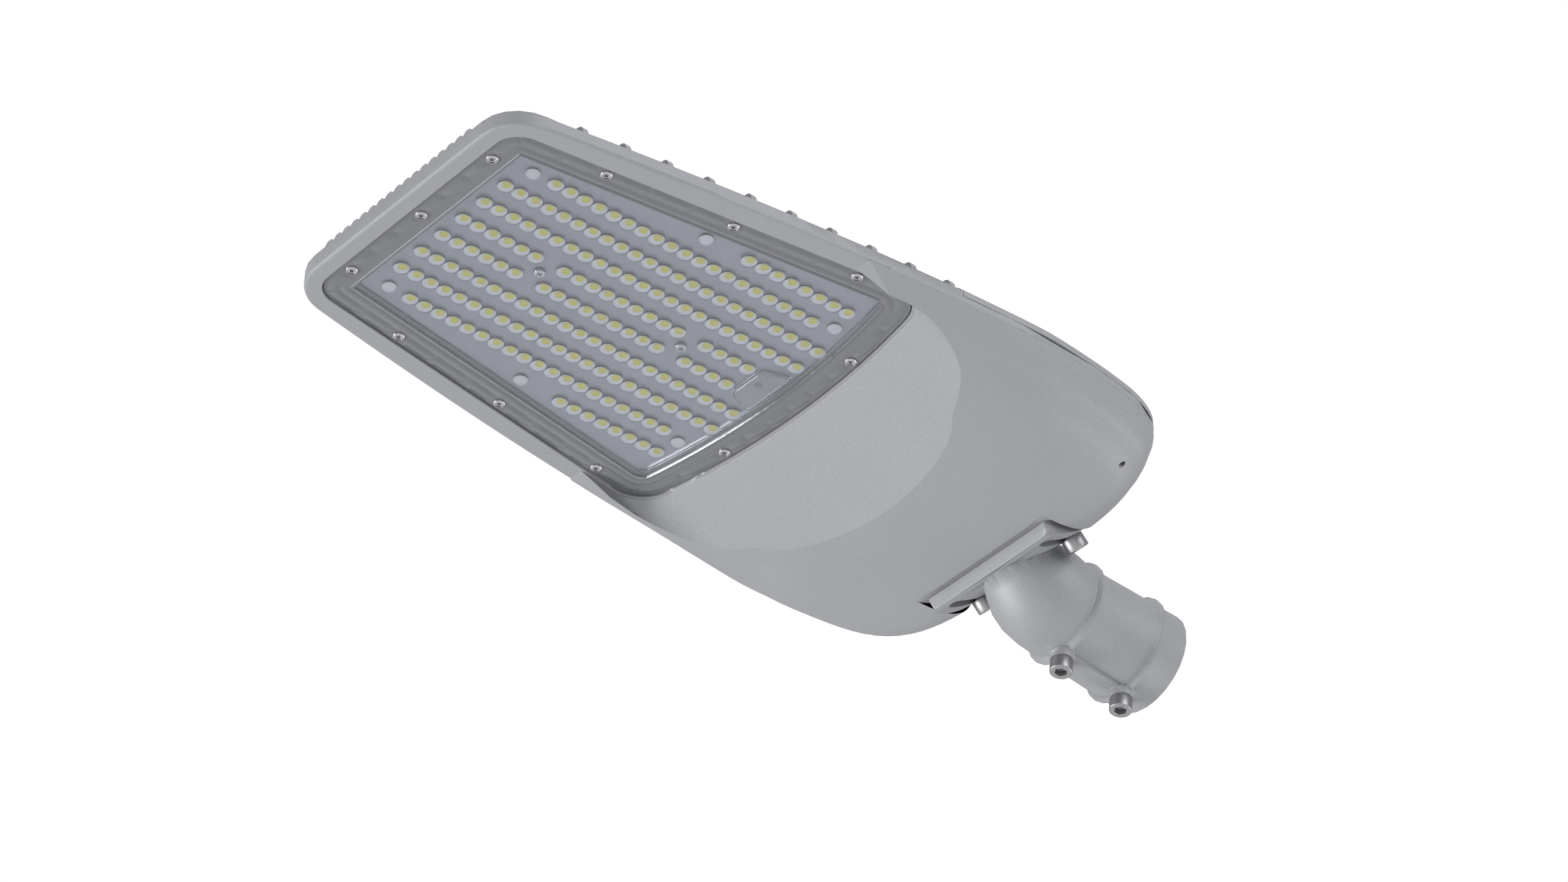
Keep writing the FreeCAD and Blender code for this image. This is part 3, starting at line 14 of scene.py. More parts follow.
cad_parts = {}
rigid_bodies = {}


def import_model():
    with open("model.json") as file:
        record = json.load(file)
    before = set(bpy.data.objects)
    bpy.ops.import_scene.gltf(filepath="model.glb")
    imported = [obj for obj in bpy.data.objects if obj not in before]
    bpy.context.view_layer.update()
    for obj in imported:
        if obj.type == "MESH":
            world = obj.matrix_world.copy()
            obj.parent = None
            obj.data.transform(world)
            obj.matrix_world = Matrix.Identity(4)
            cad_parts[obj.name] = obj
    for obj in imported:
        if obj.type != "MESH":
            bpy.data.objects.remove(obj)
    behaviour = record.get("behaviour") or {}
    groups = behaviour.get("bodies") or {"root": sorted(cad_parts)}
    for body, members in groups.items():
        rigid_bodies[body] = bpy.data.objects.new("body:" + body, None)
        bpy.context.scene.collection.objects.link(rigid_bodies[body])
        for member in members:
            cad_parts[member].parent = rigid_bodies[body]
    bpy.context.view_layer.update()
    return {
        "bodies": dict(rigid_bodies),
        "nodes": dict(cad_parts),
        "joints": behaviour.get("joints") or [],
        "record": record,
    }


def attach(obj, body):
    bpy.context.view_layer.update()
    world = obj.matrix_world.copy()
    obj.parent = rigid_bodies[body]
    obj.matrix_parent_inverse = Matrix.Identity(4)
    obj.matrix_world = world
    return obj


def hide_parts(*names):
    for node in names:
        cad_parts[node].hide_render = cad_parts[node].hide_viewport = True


logging.basicConfig(level=logging.INFO, format="%(message)s")
log = logging.getLogger("street_light_head")

MM = 0.001
Number = Union[float, "Reading"]
Point = tuple[float, float, float]
Colour = tuple[float, float, float]


# Finishes


@dataclass(frozen=True)
class Reading:
    """A value that varies over a surface, kept as a node socket."""

    recipe: "Recipe"
    socket: bpy.types.NodeSocket

    def __add__(self, other: Number) -> "Reading":
        """Sum."""
        return self.recipe.maths("ADD", self, other)

    def __radd__(self, other: Number) -> "Reading":
        """Sum with a number on the left."""
        return self.recipe.maths("ADD", other, self)

    def __sub__(self, other: Number) -> "Reading":
        """Difference."""
        return self.recipe.maths("SUBTRACT", self, other)

    def __rsub__(self, other: Number) -> "Reading":
        """Difference with a number on the left."""
        return self.recipe.maths("SUBTRACT", other, self)

    def __mul__(self, other: Number) -> "Reading":
        """Product."""
        return self.recipe.maths("MULTIPLY", self, other)

    def __rmul__(self, other: Number) -> "Reading":
        """Product with a number on the left."""
        return self.recipe.maths("MULTIPLY", other, self)

    def __truediv__(self, other: Number) -> "Reading":
        """Quotient."""
        return self.recipe.maths("DIVIDE", self, other)

    def limited(self) -> "Reading":
        """The value held between 0 and 1."""
        return self.recipe.maths("MINIMUM", self.recipe.maths("MAXIMUM", self, 0.0), 1.0)


class Recipe:
    """Node tree of one finish, or of the world."""

    def __init__(self, name: str, world: Optional[bpy.types.World] = None) -> None:
        """Makes an empty material, or empties a world.

        Args:
            name: Material name.
            world: World that the nodes go into, in place of a new material.
        """
        self.material = world or bpy.data.materials.new(name)
        self.material.use_nodes = True
        self.tree = self.material.node_tree
        self.tree.nodes.clear()

    def node(self, kind: str, settings: Optional[dict] = None,
             inputs: Optional[dict] = None) -> bpy.types.Node:
        """Adds a node.

        Args:
            kind: Node type without its ShaderNode prefix.
            settings: Node properties.
            inputs: Values or links by socket name or index.

        Returns:
            The node.
        """
        made = self.tree.nodes.new("ShaderNode" + kind)
        for key, value in (settings or {}).items():
            setattr(made, key, value)
        for key, value in (inputs or {}).items():
            self._feed(made.inputs[key], value)
        return made

    def _feed(self, socket: bpy.types.NodeSocket, value: object) -> None:
        """Links or sets one socket.

        Args:
            socket: The input.
            value: A Reading, a node output, a number or a colour.
        """
        if isinstance(value, Reading):
            self.tree.links.new(value.socket, socket)
        elif isinstance(value, bpy.types.NodeSocket):
            self.tree.links.new(value, socket)
        elif isinstance(value, tuple) and len(value) == 3 and socket.type == "RGBA":
            socket.default_value = (*value, 1.0)
        else:
            socket.default_value = value

    def maths(self, operation: str, one: Number, other: Number) -> Reading:
        """Joins two values.

        Args:
            operation: Math operation.
            one: Left value.
            other: Right value.

        Returns:
            The result.
        """
        made = self.node("Math", {"operation": operation}, {0: one, 1: other})
        return Reading(self, made.outputs[0])

    def place(self) -> bpy.types.NodeSocket:
        """Object coordinates."""
        return self.node("TexCoord").outputs["Object"]

    def grain(self, scale: float, detail: float = 2.0, roughness: float = 0.5) -> Reading:
        """Noise in object space.

        Args:
            scale: Cells per metre.
            detail: Octaves.
            roughness: Strength of the finer octaves.

        Returns:
            The noise value.
        """
        inputs = {"Vector": self.place(), "Scale": scale, "Detail": detail, "Roughness": roughness}
        made = self.node("TexNoise", {}, inputs)
        return Reading(self, made.outputs[0])

    def blend(self, share: Number, low: object, high: object) -> bpy.types.NodeSocket:
        """Mixes two colours.

        Args:
            share: 0 gives low, 1 gives high.
            low: Colour or link.
            high: Colour or link.

        Returns:
            The mixed colour.
        """
        made = self.node("Mix", {"data_type": "RGBA"}, {0: share, 6: low, 7: high})
        return made.outputs[2]

    def bump(self, height: Reading, distance: float, strength: float = 1.0,
             normal: Optional[bpy.types.NodeSocket] = None) -> bpy.types.NodeSocket:
        """Surface relief.

        Args:
            height: Relief from 0 to 1.
            distance: Height in metres.
            strength: Share of the relief.
            normal: Normal under the relief.

        Returns:
            The normal.
        """
        inputs = {"Height": height, "Distance": distance, "Strength": strength}
        if normal is not None:
            inputs["Normal"] = normal
        return self.node("Bump", {}, inputs).outputs["Normal"]

    def soft_edges(self, radius: float) -> bpy.types.NodeSocket:
        """Normal that rounds edges.

        Args:
            radius: Radius in metres.

        Returns:
            The normal.
        """
        return self.node("Bevel", {"samples": 6}, {"Radius": radius}).outputs[0]

    def surface(self, **inputs: object) -> None:
        """Principled surface with plain names for its sockets.

        Args:
            inputs: Socket name with _ for a space, and its value or link.
        """
        named = {key.replace("_", " "): value for key, value in inputs.items()}
        self.finish(self.node("BsdfPrincipled", {}, named).outputs[0])

    def finish(self, shader: bpy.types.NodeSocket) -> None:
        """Sends a shader to the output.

        Args:
            shader: Shader link.
        """
        self.node("OutputMaterial", {}, {"Surface": shader})


@dataclass(frozen=True)
class PowderCoat:
    """Silver grey powder coat with a fine leathery grain."""

    name: str
    colour: Colour = (0.40, 0.405, 0.425)
    grain_size: float = 1.1
    relief: float = 0.2
    edge: float = 0.9
    roughness: float = 0.52
    broad_scale: float = 14.0
    speck_scale: float = 2300.0
    variation: float = 0.26
    metallic: float = 0.2

    def material(self) -> bpy.types.Material:
        """Builds the finish."""
        mix = Recipe(self.name)
        fine = mix.grain(1000.0 / self.grain_size, 2.0, 0.55)
        broad = mix.grain(self.broad_scale, 3.0, 0.5)
        speck = mix.grain(self.speck_scale, 1.0, 0.4)
        share = (broad * 0.15 + fine * 0.6 + speck * 0.25).limited()
        darker = tuple(c * (1 - self.variation) for c in self.colour)
        lighter = tuple(min(c * (1 + self.variation), 1.0) for c in self.colour)
        tint = mix.blend(share, darker, lighter)
        rough = (broad * 0.10 + fine * 0.08 + (self.roughness - 0.09)).limited()
        rounded = mix.soft_edges(self.edge * MM)
        relief = mix.bump(fine, self.relief * MM, 1.0, rounded)
        mix.surface(Base_Color=tint, Roughness=rough, Metallic=self.metallic, Normal=relief)
        return mix.material


@dataclass(frozen=True)
class Metal:
    """Bare or plated metal."""

    name: str
    colour: Colour
    roughness: float
    scratch: float = 0.06
    relief: float = 0.01
    edge: float = 0.25
    metallic: float = 0.9

    def material(self) -> bpy.types.Material:
        """Builds the finish."""
        mix = Recipe(self.name)
        cloud = mix.grain(120.0, 3.0)
        fine = mix.grain(1800.0, 2.0)
        tint = mix.blend(cloud, tuple(c * 0.9 for c in self.colour), self.colour)
        rough = (cloud * self.scratch + fine * self.scratch + (self.roughness - self.scratch)).limited()
        relief = mix.bump(fine, self.relief * MM, 1.0, mix.soft_edges(self.edge * MM))
        mix.surface(Base_Color=tint, Roughness=rough, Metallic=self.metallic, Normal=relief)
        return mix.material


@dataclass(frozen=True)
class Moulding:
    """Opaque moulded plastic, rubber or resist."""

    name: str
    colour: Colour
    roughness: float = 0.5
    texture: float = 900.0
    relief: float = 0.02
    variation: float = 0.06

    def material(self) -> bpy.types.Material:
        """Builds the finish."""
        mix = Recipe(self.name)
        fine = mix.grain(self.texture, 2.0)
        cloud = mix.grain(40.0, 2.0)
        low = tuple(c * (1 - self.variation) for c in self.colour)
        high = tuple(min(c * (1 + self.variation), 1.0) for c in self.colour)
        tint = mix.blend((fine * 0.5 + cloud * 0.5).limited(), low, high)
        rough = (fine * 0.12 + (self.roughness - 0.06)).limited()
        mix.surface(Base_Color=tint, Roughness=rough, Normal=mix.bump(fine, self.relief * MM))
        return mix.material


@dataclass(frozen=True)
class ClearPlastic:
    """Clear or tinted moulded polycarbonate."""

    name: str
    colour: Colour = (1.0, 1.0, 1.0)
    roughness: float = 0.02
    clarity: float = 1.0
    index: float = 1.46

    def material(self) -> bpy.types.Material:
        """Builds the finish."""
        mix = Recipe(self.name)
        cloud = mix.grain(60.0, 2.0)
        tint = mix.blend(cloud, tuple(c * 0.985 for c in self.colour), self.colour)
        mix.surface(Base_Color=tint, Roughness=self.roughness, IOR=self.index,
                    Transmission_Weight=self.clarity)
        return mix.material


@dataclass(frozen=True)
class PaintedShadeFlange:
    """Glossy opaque flange of the lens cover, in the grey that clear plastic takes from what lies behind it
    in shade: painted shade.
    """

    name: str = "lens_flange_plastic"
    # Painted shade: the grey of the shaded parts seen through the clear flange, not a tint of the plastic.
    colour: Colour = (0.185, 0.19, 0.208)
    coat: float = 0.4
    coat_roughness: float = 0.05

    def material(self) -> bpy.types.Material:
        """Builds the finish."""
        mix = Recipe(self.name)
        cloud = mix.grain(22.0, 3.0)
        ripple = mix.grain(160.0, 2.0)
        tint = mix.blend(cloud, tuple(c * 0.9 for c in self.colour), tuple(c * 1.08 for c in self.colour))
        rough = (cloud * 0.10 + 0.20).limited()
        mix.surface(Base_Color=tint, Roughness=rough, Normal=mix.bump(ripple, 0.02 * MM),
                    Coat_Weight=self.coat, Coat_Roughness=self.coat_roughness)
        return mix.material


@dataclass(frozen=True)
class Phosphor:
    """Yellow phosphor of a white LED, unlit."""

    name: str = "phosphor"
    pale: Colour = (0.86, 0.80, 0.20)
    deep: Colour = (0.72, 0.66, 0.10)

    def material(self) -> bpy.types.Material:
        """Builds the finish."""
        mix = Recipe(self.name)
        fine = mix.grain(1500.0, 2.0)
        tint = mix.blend(fine, self.deep, self.pale)
        mix.surface(Base_Color=tint, Roughness=0.5, Normal=mix.bump(fine, 0.02 * MM))
        return mix.material


@dataclass(frozen=True)
class Backdrop:
    """Pale surface that is plain white to the camera, to gloss and through glass."""

    name: str
    colour: Colour = (0.8, 0.8, 0.8)

    def material(self) -> bpy.types.Material:
        """Builds the finish."""
        mix = Recipe(self.name)
        cloud = mix.grain(0.8, 2.0)
        tint = mix.blend(cloud, self.colour, tuple(c * 1.02 for c in self.colour))
        plain = mix.node("BsdfDiffuse", {}, {"Color": tint})
        white = mix.node("Emission", {}, {"Color": (1.0, 1.0, 1.0), "Strength": 1.0})
        path = mix.node("LightPath")
        seen = Reading(mix, path.outputs["Is Camera Ray"]) + Reading(mix, path.outputs["Is Glossy Ray"])
        seen = (seen + Reading(mix, path.outputs["Is Transmission Ray"])).limited()
        joined = mix.node("MixShader", {}, {0: seen, 1: plain.outputs[0], 2: white.outputs[0]})
        mix.finish(joined.outputs[0])
        return mix.material


class Finish(Enum):
    """Finishes of the lamp, by the record's slot names."""

    POWDER_COAT = "powder_coat"
    POWDER_COAT_SPIGOT = "powder_coat_spigot"
    GASKET_RUBBER = "gasket_rubber"
    STEEL = "steel"
    BOLT_STEEL = "bolt_steel"
    LENS_PLASTIC = "lens_plastic"
    BOARD = "board"
    PHOSPHOR = "phosphor"
    OPTIC_PLASTIC = "optic_plastic"
    ZINC_SHEET = "zinc_sheet"
    DRIVER_CASE = "driver_case"
    TERMINAL_PLASTIC = "terminal_plastic"
    SURGE_CASE = "surge_case"
    BRASS = "brass"


RECIPES = {
    Finish.POWDER_COAT: PowderCoat("powder_coat"),
    Finish.POWDER_COAT_SPIGOT: PowderCoat("powder_coat_spigot", (0.39, 0.395, 0.41), 1.3, 0.07, 1.2),
    Finish.GASKET_RUBBER: Moulding("gasket_rubber", (0.035, 0.035, 0.037), 0.6, 700.0),
    Finish.STEEL: Metal("steel", (0.50, 0.50, 0.51), 0.32),
    Finish.BOLT_STEEL: Metal("bolt_steel", (0.36, 0.36, 0.37), 0.38),
    Finish.LENS_PLASTIC: ClearPlastic("lens_plastic", (0.93, 0.95, 0.99), 0.03),
    Finish.BOARD: Moulding("board", (0.53, 0.54, 0.60), 0.45, 500.0, 0.01),
    Finish.PHOSPHOR: Phosphor(),
    Finish.OPTIC_PLASTIC: ClearPlastic("optic_plastic", (0.97, 0.98, 1.0), 0.06),
    Finish.ZINC_SHEET: Metal("zinc_sheet", (0.55, 0.56, 0.58), 0.45),
    Finish.DRIVER_CASE: Moulding("driver_case", (0.70, 0.70, 0.69), 0.45),
    Finish.TERMINAL_PLASTIC: Moulding("terminal_plastic", (0.62, 0.62, 0.58), 0.5),
    Finish.SURGE_CASE: Moulding("surge_case", (0.10, 0.12, 0.16), 0.5),
    Finish.BRASS: Metal("brass", (0.60, 0.45, 0.18), 0.35),
}


class Paint:
    """Keeps one material for each finish."""

    made: dict[Finish, bpy.types.Material] = {}

    @classmethod
    def of(cls, finish: Finish) -> bpy.types.Material:
        """Material of a finish, made once."""
        if finish not in cls.made:
            cls.made[finish] = RECIPES[finish].material()
        return cls.made[finish]


# Bench tools


def nothing_selected() -> None:
    """Leaves edit mode and deselects everything."""
    if bpy.context.object is not None and bpy.context.object.mode != "OBJECT":
        bpy.ops.object.mode_set(mode="OBJECT")
    bpy.ops.object.select_all(action="DESELECT")


def take(piece: bpy.types.Object) -> bpy.types.Object:
    """Makes a piece the only selected and active one."""
    nothing_selected()
    piece.select_set(True)
    bpy.context.view_layer.objects.active = piece
    return piece


def edit(piece: bpy.types.Object) -> None:
    """Makes a piece the active one and opens it for editing."""
    take(piece)
    bpy.ops.object.mode_set(mode="EDIT")


def pick(piece: bpy.types.Object, kind: str, wanted: Callable[[object], bool]) -> int:
    """Selects the faces or edges of a piece that pass a test.

    Args:
        piece: Piece in edit mode.
        kind: FACE or EDGE.
        wanted: Test of a face or an edge.

    Returns:
        Number selected.
    """
    bpy.ops.mesh.select_mode(type=kind)
    bpy.ops.mesh.select_all(action="DESELECT")
    mesh = bmesh.from_edit_mesh(piece.data)
    chosen = [part for part in (mesh.faces if kind == "FACE" else mesh.edges) if wanted(part)]
    for part in chosen:
        part.select_set(True)
    bmesh.update_edit_mesh(piece.data)
    return len(chosen)


def pick_faces(piece: bpy.types.Object, wanted: Callable[[bmesh.types.BMFace], bool]) -> int:
    """Selects the faces that pass a test and returns their number."""
    return pick(piece, "FACE", wanted)


def pick_edges(piece: bpy.types.Object, wanted: Callable[[bmesh.types.BMEdge], bool]) -> int:
    """Selects the edges that pass a test and returns their number."""
    return pick(piece, "EDGE", wanted)


def settle(piece: bpy.types.Object) -> bpy.types.Object:
    """Applies the place of an object to its mesh."""
    take(piece)
    bpy.ops.object.transform_apply(location=True, rotation=True, scale=True)
    return piece


def smooth(piece: bpy.types.Object, angle: float = 32.0) -> bpy.types.Object:
    """Shades a piece smooth up to an angle in degrees."""
    take(piece)
    bpy.ops.object.shade_smooth_by_angle(angle=math.radians(angle))
    return piece


def applied(piece: bpy.types.Object, kind: str, **settings: object) -> bpy.types.Object:
    """Gives a piece a modifier and applies it.

    Args:
        piece: The piece.
        kind: Type of the modifier.
        settings: Its properties.

    Returns:
        The piece.
    """
    take(piece)
    modifier = piece.modifiers.new(kind.lower(), kind)
    for key, value in settings.items():
        setattr(modifier, key, value)
    bpy.ops.object.modifier_apply(modifier=modifier.name)
    return piece


def closed_up(piece: bpy.types.Object) -> bpy.types.Object:
    """Merges the doubles of a closed piece in edit mode and turns its faces outwards."""
    bpy.ops.mesh.select_all(action="SELECT")
    bpy.ops.mesh.remove_doubles(threshold=5e-6)
    bpy.ops.mesh.select_all(action="SELECT")
    bpy.ops.mesh.normals_make_consistent(inside=False)
    bpy.ops.object.mode_set(mode="OBJECT")
    volume = bmesh.new()
    volume.from_mesh(piece.data)
    inside_out = volume.calc_volume(signed=True) < 0
    volume.free()
    if inside_out:
        bpy.ops.object.mode_set(mode="EDIT")
        bpy.ops.mesh.select_all(action="SELECT")
        bpy.ops.mesh.flip_normals()
        bpy.ops.object.mode_set(mode="OBJECT")
    return piece


def carved(piece: bpy.types.Object, tool: bpy.types.Object, solver: str = "EXACT") -> bpy.types.Object:
    """Takes a tool out of a piece and deletes the tool."""
    applied(piece, "BOOLEAN", operation="DIFFERENCE", solver=solver, object=tool)
    bpy.data.objects.remove(tool)
    return piece


def cylinder(sides: int, radius: float, depth: float, place: Point = (0.0, 0.0, 0.0)) -> bpy.types.Object:
    """Upright cylinder.

    Args:
        sides: Faces round it.
        radius: Radius in millimetres.
        depth: Height in millimetres.
        place: Its middle in millimetres.

    Returns:
        The cylinder.
    """
    nothing_selected()
    bpy.ops.mesh.primitive_cylinder_add(vertices=sides, radius=radius * MM, depth=depth * MM,
                                        location=tuple(c * MM for c in place))
    return settle(bpy.context.object)


def move_to(point: Sequence[float]) -> Matrix:
    """Move from the origin to a point in millimetres."""
    return Matrix.Translation(Vector(point) * MM)


def copied(piece: bpy.types.Object, name: str, place: Matrix) -> bpy.types.Object:
    """Copy with its own mesh, put in place.

    Args:
        piece: What is copied.
        name: Name of the copy.
        place: Where it goes.

    Returns:
        The copy.
    """
    twin = bpy.data.objects.new(name, piece.data.copy())
    twin.data.transform(place)
    bpy.context.scene.collection.objects.link(twin)
    return twin


def joined(parts: Sequence[bpy.types.Object], name: str) -> bpy.types.Object:
    """Joins objects into one piece."""
    nothing_selected()
    for part in parts:
        part.select_set(True)
    bpy.context.view_layer.objects.active = parts[0]
    bpy.ops.object.join()
    parts[0].name = name
    parts[0].data.name = name
    return parts[0]


def copies_of(master: bpy.types.Object, places: Sequence[Matrix], name: str) -> bpy.types.Object:
    """Copies of a master at all places, joined into one piece; the master goes."""
    parts = [copied(master, name, place) for place in places]
    bpy.data.objects.remove(master)
    return joined(parts, name)


def repaint(piece: bpy.types.Object, look: Union[ClearPlastic, Moulding, PaintedShadeFlange]) -> None:
    """Gives a dressed piece a look of its own within its slot."""
    piece.data.materials.clear()
    piece.data.materials.append(look.material())


def dress(piece: bpy.types.Object, name: str, finish: Finish,
          stands_for: Sequence[str] = ()) -> bpy.types.Object:
    """Names a piece, gives it its finish and fixes it to the lamp.

    Args:
        piece: The piece.
        name: Its name.
        finish: Its finish.
        stands_for: CAD nodes that it replaces.

    Returns:
        The piece.
    """
    piece.name = name
    piece.data.name = name
    piece.data.materials.clear()
    piece.data.materials.append(Paint.of(finish))
    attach(piece, "root")
    if stands_for:
        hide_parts(*stands_for)
    log.info("%s: %d faces", name, len(piece.data.polygons))
    return piece


def rounded(point: Vector) -> tuple[int, ...]:
    """Coordinates in whole micrometres, to find a point again."""
    return tuple(round(c * 1e6) for c in point)


def ring_loft(name: str, rings: Sequence[Sequence[Vector]], cap_last: bool = False) -> bpy.types.Object:
    """Skin through closed rings with equal numbers of points, by extruding the first ring.

    Args:
        name: Object name.
        rings: Rings of points in metres.
        cap_last: Closes the last ring with a face.

    Returns:
        The object.
    """
    nothing_selected()
    number = len(rings[0])
    bpy.ops.mesh.primitive_circle_add(vertices=number, radius=1.0, fill_type="NOTHING")
    piece = bpy.context.object
    piece.name = name
    edit(piece)
    mesh = bmesh.from_edit_mesh(piece.data)
    mesh.verts.ensure_lookup_table()
    order = [mesh.verts[0]]
    last = None
    while len(order) < number:
        here = order[-1]
        following = [e.other_vert(here) for e in here.link_edges if e.other_vert(here) is not last]
        last = here
        order.append(following[0])
    for vert, point in zip(order, rings[0]):
        vert.co = point
    bmesh.update_edit_mesh(piece.data)
    for k, ring in enumerate(rings[1:]):
        previous = {rounded(point): j for j, point in enumerate(rings[k])}
        bpy.ops.mesh.extrude_edges_move()
        mesh = bmesh.from_edit_mesh(piece.data)
        for vert in mesh.verts:
            if vert.select:
                key = rounded(vert.co)
                if key not in previous:
                    previous[key] = min(range(number), key=lambda j: (rings[k][j] - vert.co).length_squared)
                vert.co = ring[previous[key]]
        bmesh.update_edit_mesh(piece.data)
    if cap_last:
        bpy.ops.mesh.edge_face_add()
    bpy.ops.object.mode_set(mode="OBJECT")
    return piece


def solid_loft(name: str, rings: Sequence[Sequence[Vector]]) -> bpy.types.Object:
    """Skin through rings, closed at both ends."""
    piece = ring_loft(name, rings, cap_last=True)
    edit(piece)
    pick_edges(piece, lambda edge: edge.is_boundary)
    bpy.ops.mesh.edge_face_add()
    return closed_up(piece)


# Castings


@dataclass
class Casting:
    """Die cast piece taken from its CAD node, cleaned, rounded where it curves and shaded smooth.

    Lengths are in millimetres, areas in square metres and angles in degrees. Outlines are rounded
    outside seat_zone, the reach of the spigot's seat along X and to each side, in metres.
    """

    node: str
    finish: Finish
    angle: float = 33.0
    clean: float = 0.4
    flat_area: float = 0.004
    flat_angle: float = 4.0
    rounds: int = 2
    axis: Point = (0.0, 0.0, 1.0)
    longest_turn: float = 27.0
    shortest_edge: float = 1.5
    level_limit: float = 0.004
    least_move: float = 0.004
    longest_stride: float = 1.6
    near_share: float = 0.5625
    far_share: float = 0.0625
    seat_zone: tuple = (0.175, 0.07)

    def build(self, frame: dict) -> bpy.types.Object:
        """Copies the node's mesh and dresses it.


        Returns:
            The piece.
        """
        source = frame["nodes"][self.node]
        piece = bpy.data.objects.new(self.node + "_cast", source.data.copy())
        bpy.context.scene.collection.objects.link(piece)
        piece.matrix_world = source.matrix_world.copy()
        settle(piece)
        edit(piece)
        bpy.ops.mesh.select_all(action="SELECT")
        bpy.ops.mesh.remove_doubles(threshold=2e-6)
        bpy.ops.mesh.dissolve_limited(angle_limit=math.radians(self.clean))
        bpy.ops.mesh.select_all(action="SELECT")
        bpy.ops.mesh.tris_convert_to_quads(face_threshold=math.radians(9), shape_threshold=math.radians(70))
        for _ in range(self.rounds):
            self._round_outlines(piece)
        bpy.ops.object.mode_set(mode="OBJECT")
        piece.data.polygons.foreach_set("use_smooth", [True] * len(piece.data.polygons))
        smooth(piece, self.angle)
        self._crisp_flats(piece)
        applied(piece, "WEIGHTED_NORMAL", keep_sharp=True, weight=60)
        return dress(piece, self.node + "_cast", self.finish, [self.node])

    def _round_outlines(self, piece: bpy.types.Object) -> None:
        """Halves the chords of curved outlines and moves the new points onto the curve.

        Args:
            piece: The piece, in edit mode.
        """
        axis = Vector(self.axis)
        mesh = bmesh.from_edit_mesh(piece.data)

        def is_outline(edge: bmesh.types.BMEdge) -> bool:
            """Tests whether an edge runs round the axis or borders a large flat."""
            if len(edge.link_faces) != 2 or edge.calc_length() < self.shortest_edge * MM:
                return False
            middle = (edge.verts[0].co + edge.verts[1].co) * 0.5
            if middle.x < self.seat_zone[0] and abs(middle.y) < self.seat_zone[1]:
                return False
            along = (edge.verts[1].co - edge.verts[0].co).normalized()
            return abs(along.dot(axis)) < self.level_limit or self._borders_flat(edge)

        outlines = {edge for edge in mesh.edges if is_outline(edge)}
        goals = {}
        for edge in outlines:
            start, end = edge.verts
            before = self._neighbour(start, end, edge, outlines)
            after = self._neighbour(end, start, edge, outlines)
            if before is None and after is None:
                continue
            first = before if before is not None else start.co * 2 - end.co
            last = after if after is not None else end.co * 2 - start.co
            middle = (start.co + end.co) * 0.5
            goal = (start.co + end.co) * self.near_share - (first + last) * self.far_share
            if (goal - middle).length > self.least_move * MM:
                goals[edge] = (middle, goal)
        moves = {rounded(middle): goal for middle, goal in goals.values()}
        bpy.ops.mesh.select_mode(type="EDGE")
        bpy.ops.mesh.select_all(action="DESELECT")
        mesh = bmesh.from_edit_mesh(piece.data)
        for edge in goals:
            edge.select_set(True)
        bmesh.update_edit_mesh(piece.data)
        bpy.ops.mesh.subdivide(number_cuts=1)
        mesh = bmesh.from_edit_mesh(piece.data)
        for vert in mesh.verts:
            vert.co = moves.get(rounded(vert.co), vert.co)
        bmesh.update_edit_mesh(piece.data)

    def _borders_flat(self, edge: bmesh.types.BMEdge) -> bool:
        """Tests whether an edge lies between a large flat and something that leans away."""
        if len(edge.link_faces) != 2:
            return False
        large = max(face.calc_area() for face in edge.link_faces)
        return large > self.flat_area and edge.calc_face_angle() > math.radians(self.flat_angle)

    def _neighbour(self, vert: bmesh.types.BMVert, other: bmesh.types.BMVert, edge: bmesh.types.BMEdge,
                   outlines: set) -> Optional[Vector]:
        """Point that carries an outline on past one end of an edge.

        Args:
            vert: End of the edge.
            other: Its other end.
            edge: The edge.
            outlines: All outline edges.

        Returns:
            The next point, or None at a corner.
        """
        along = (vert.co - other.co).normalized()
        best = None
        least = math.radians(self.longest_turn)
        for link in vert.link_edges:
            if link is edge or link not in outlines:
                continue
            beyond = link.other_vert(vert).co
            turn = (beyond - vert.co).angle(along, math.pi)
            if turn < least:
                best = beyond.copy()
                least = turn
        if best is None:
            return None
        reach = (best - vert.co).length
        span = (vert.co - other.co).length
        if reach > span * self.longest_stride:
            best = vert.co + (best - vert.co) * (span / reach)
        return best

    def _crisp_flats(self, piece: bpy.types.Object) -> None:
        """Keeps the borders of large flat faces crisp, also where they meet curves at a small angle.

        Args:
            piece: The piece.
        """
        edit(piece)
        pick_edges(piece, self._borders_flat)
        bpy.ops.mesh.mark_sharp()
        bpy.ops.object.mode_set(mode="OBJECT")


# Lens


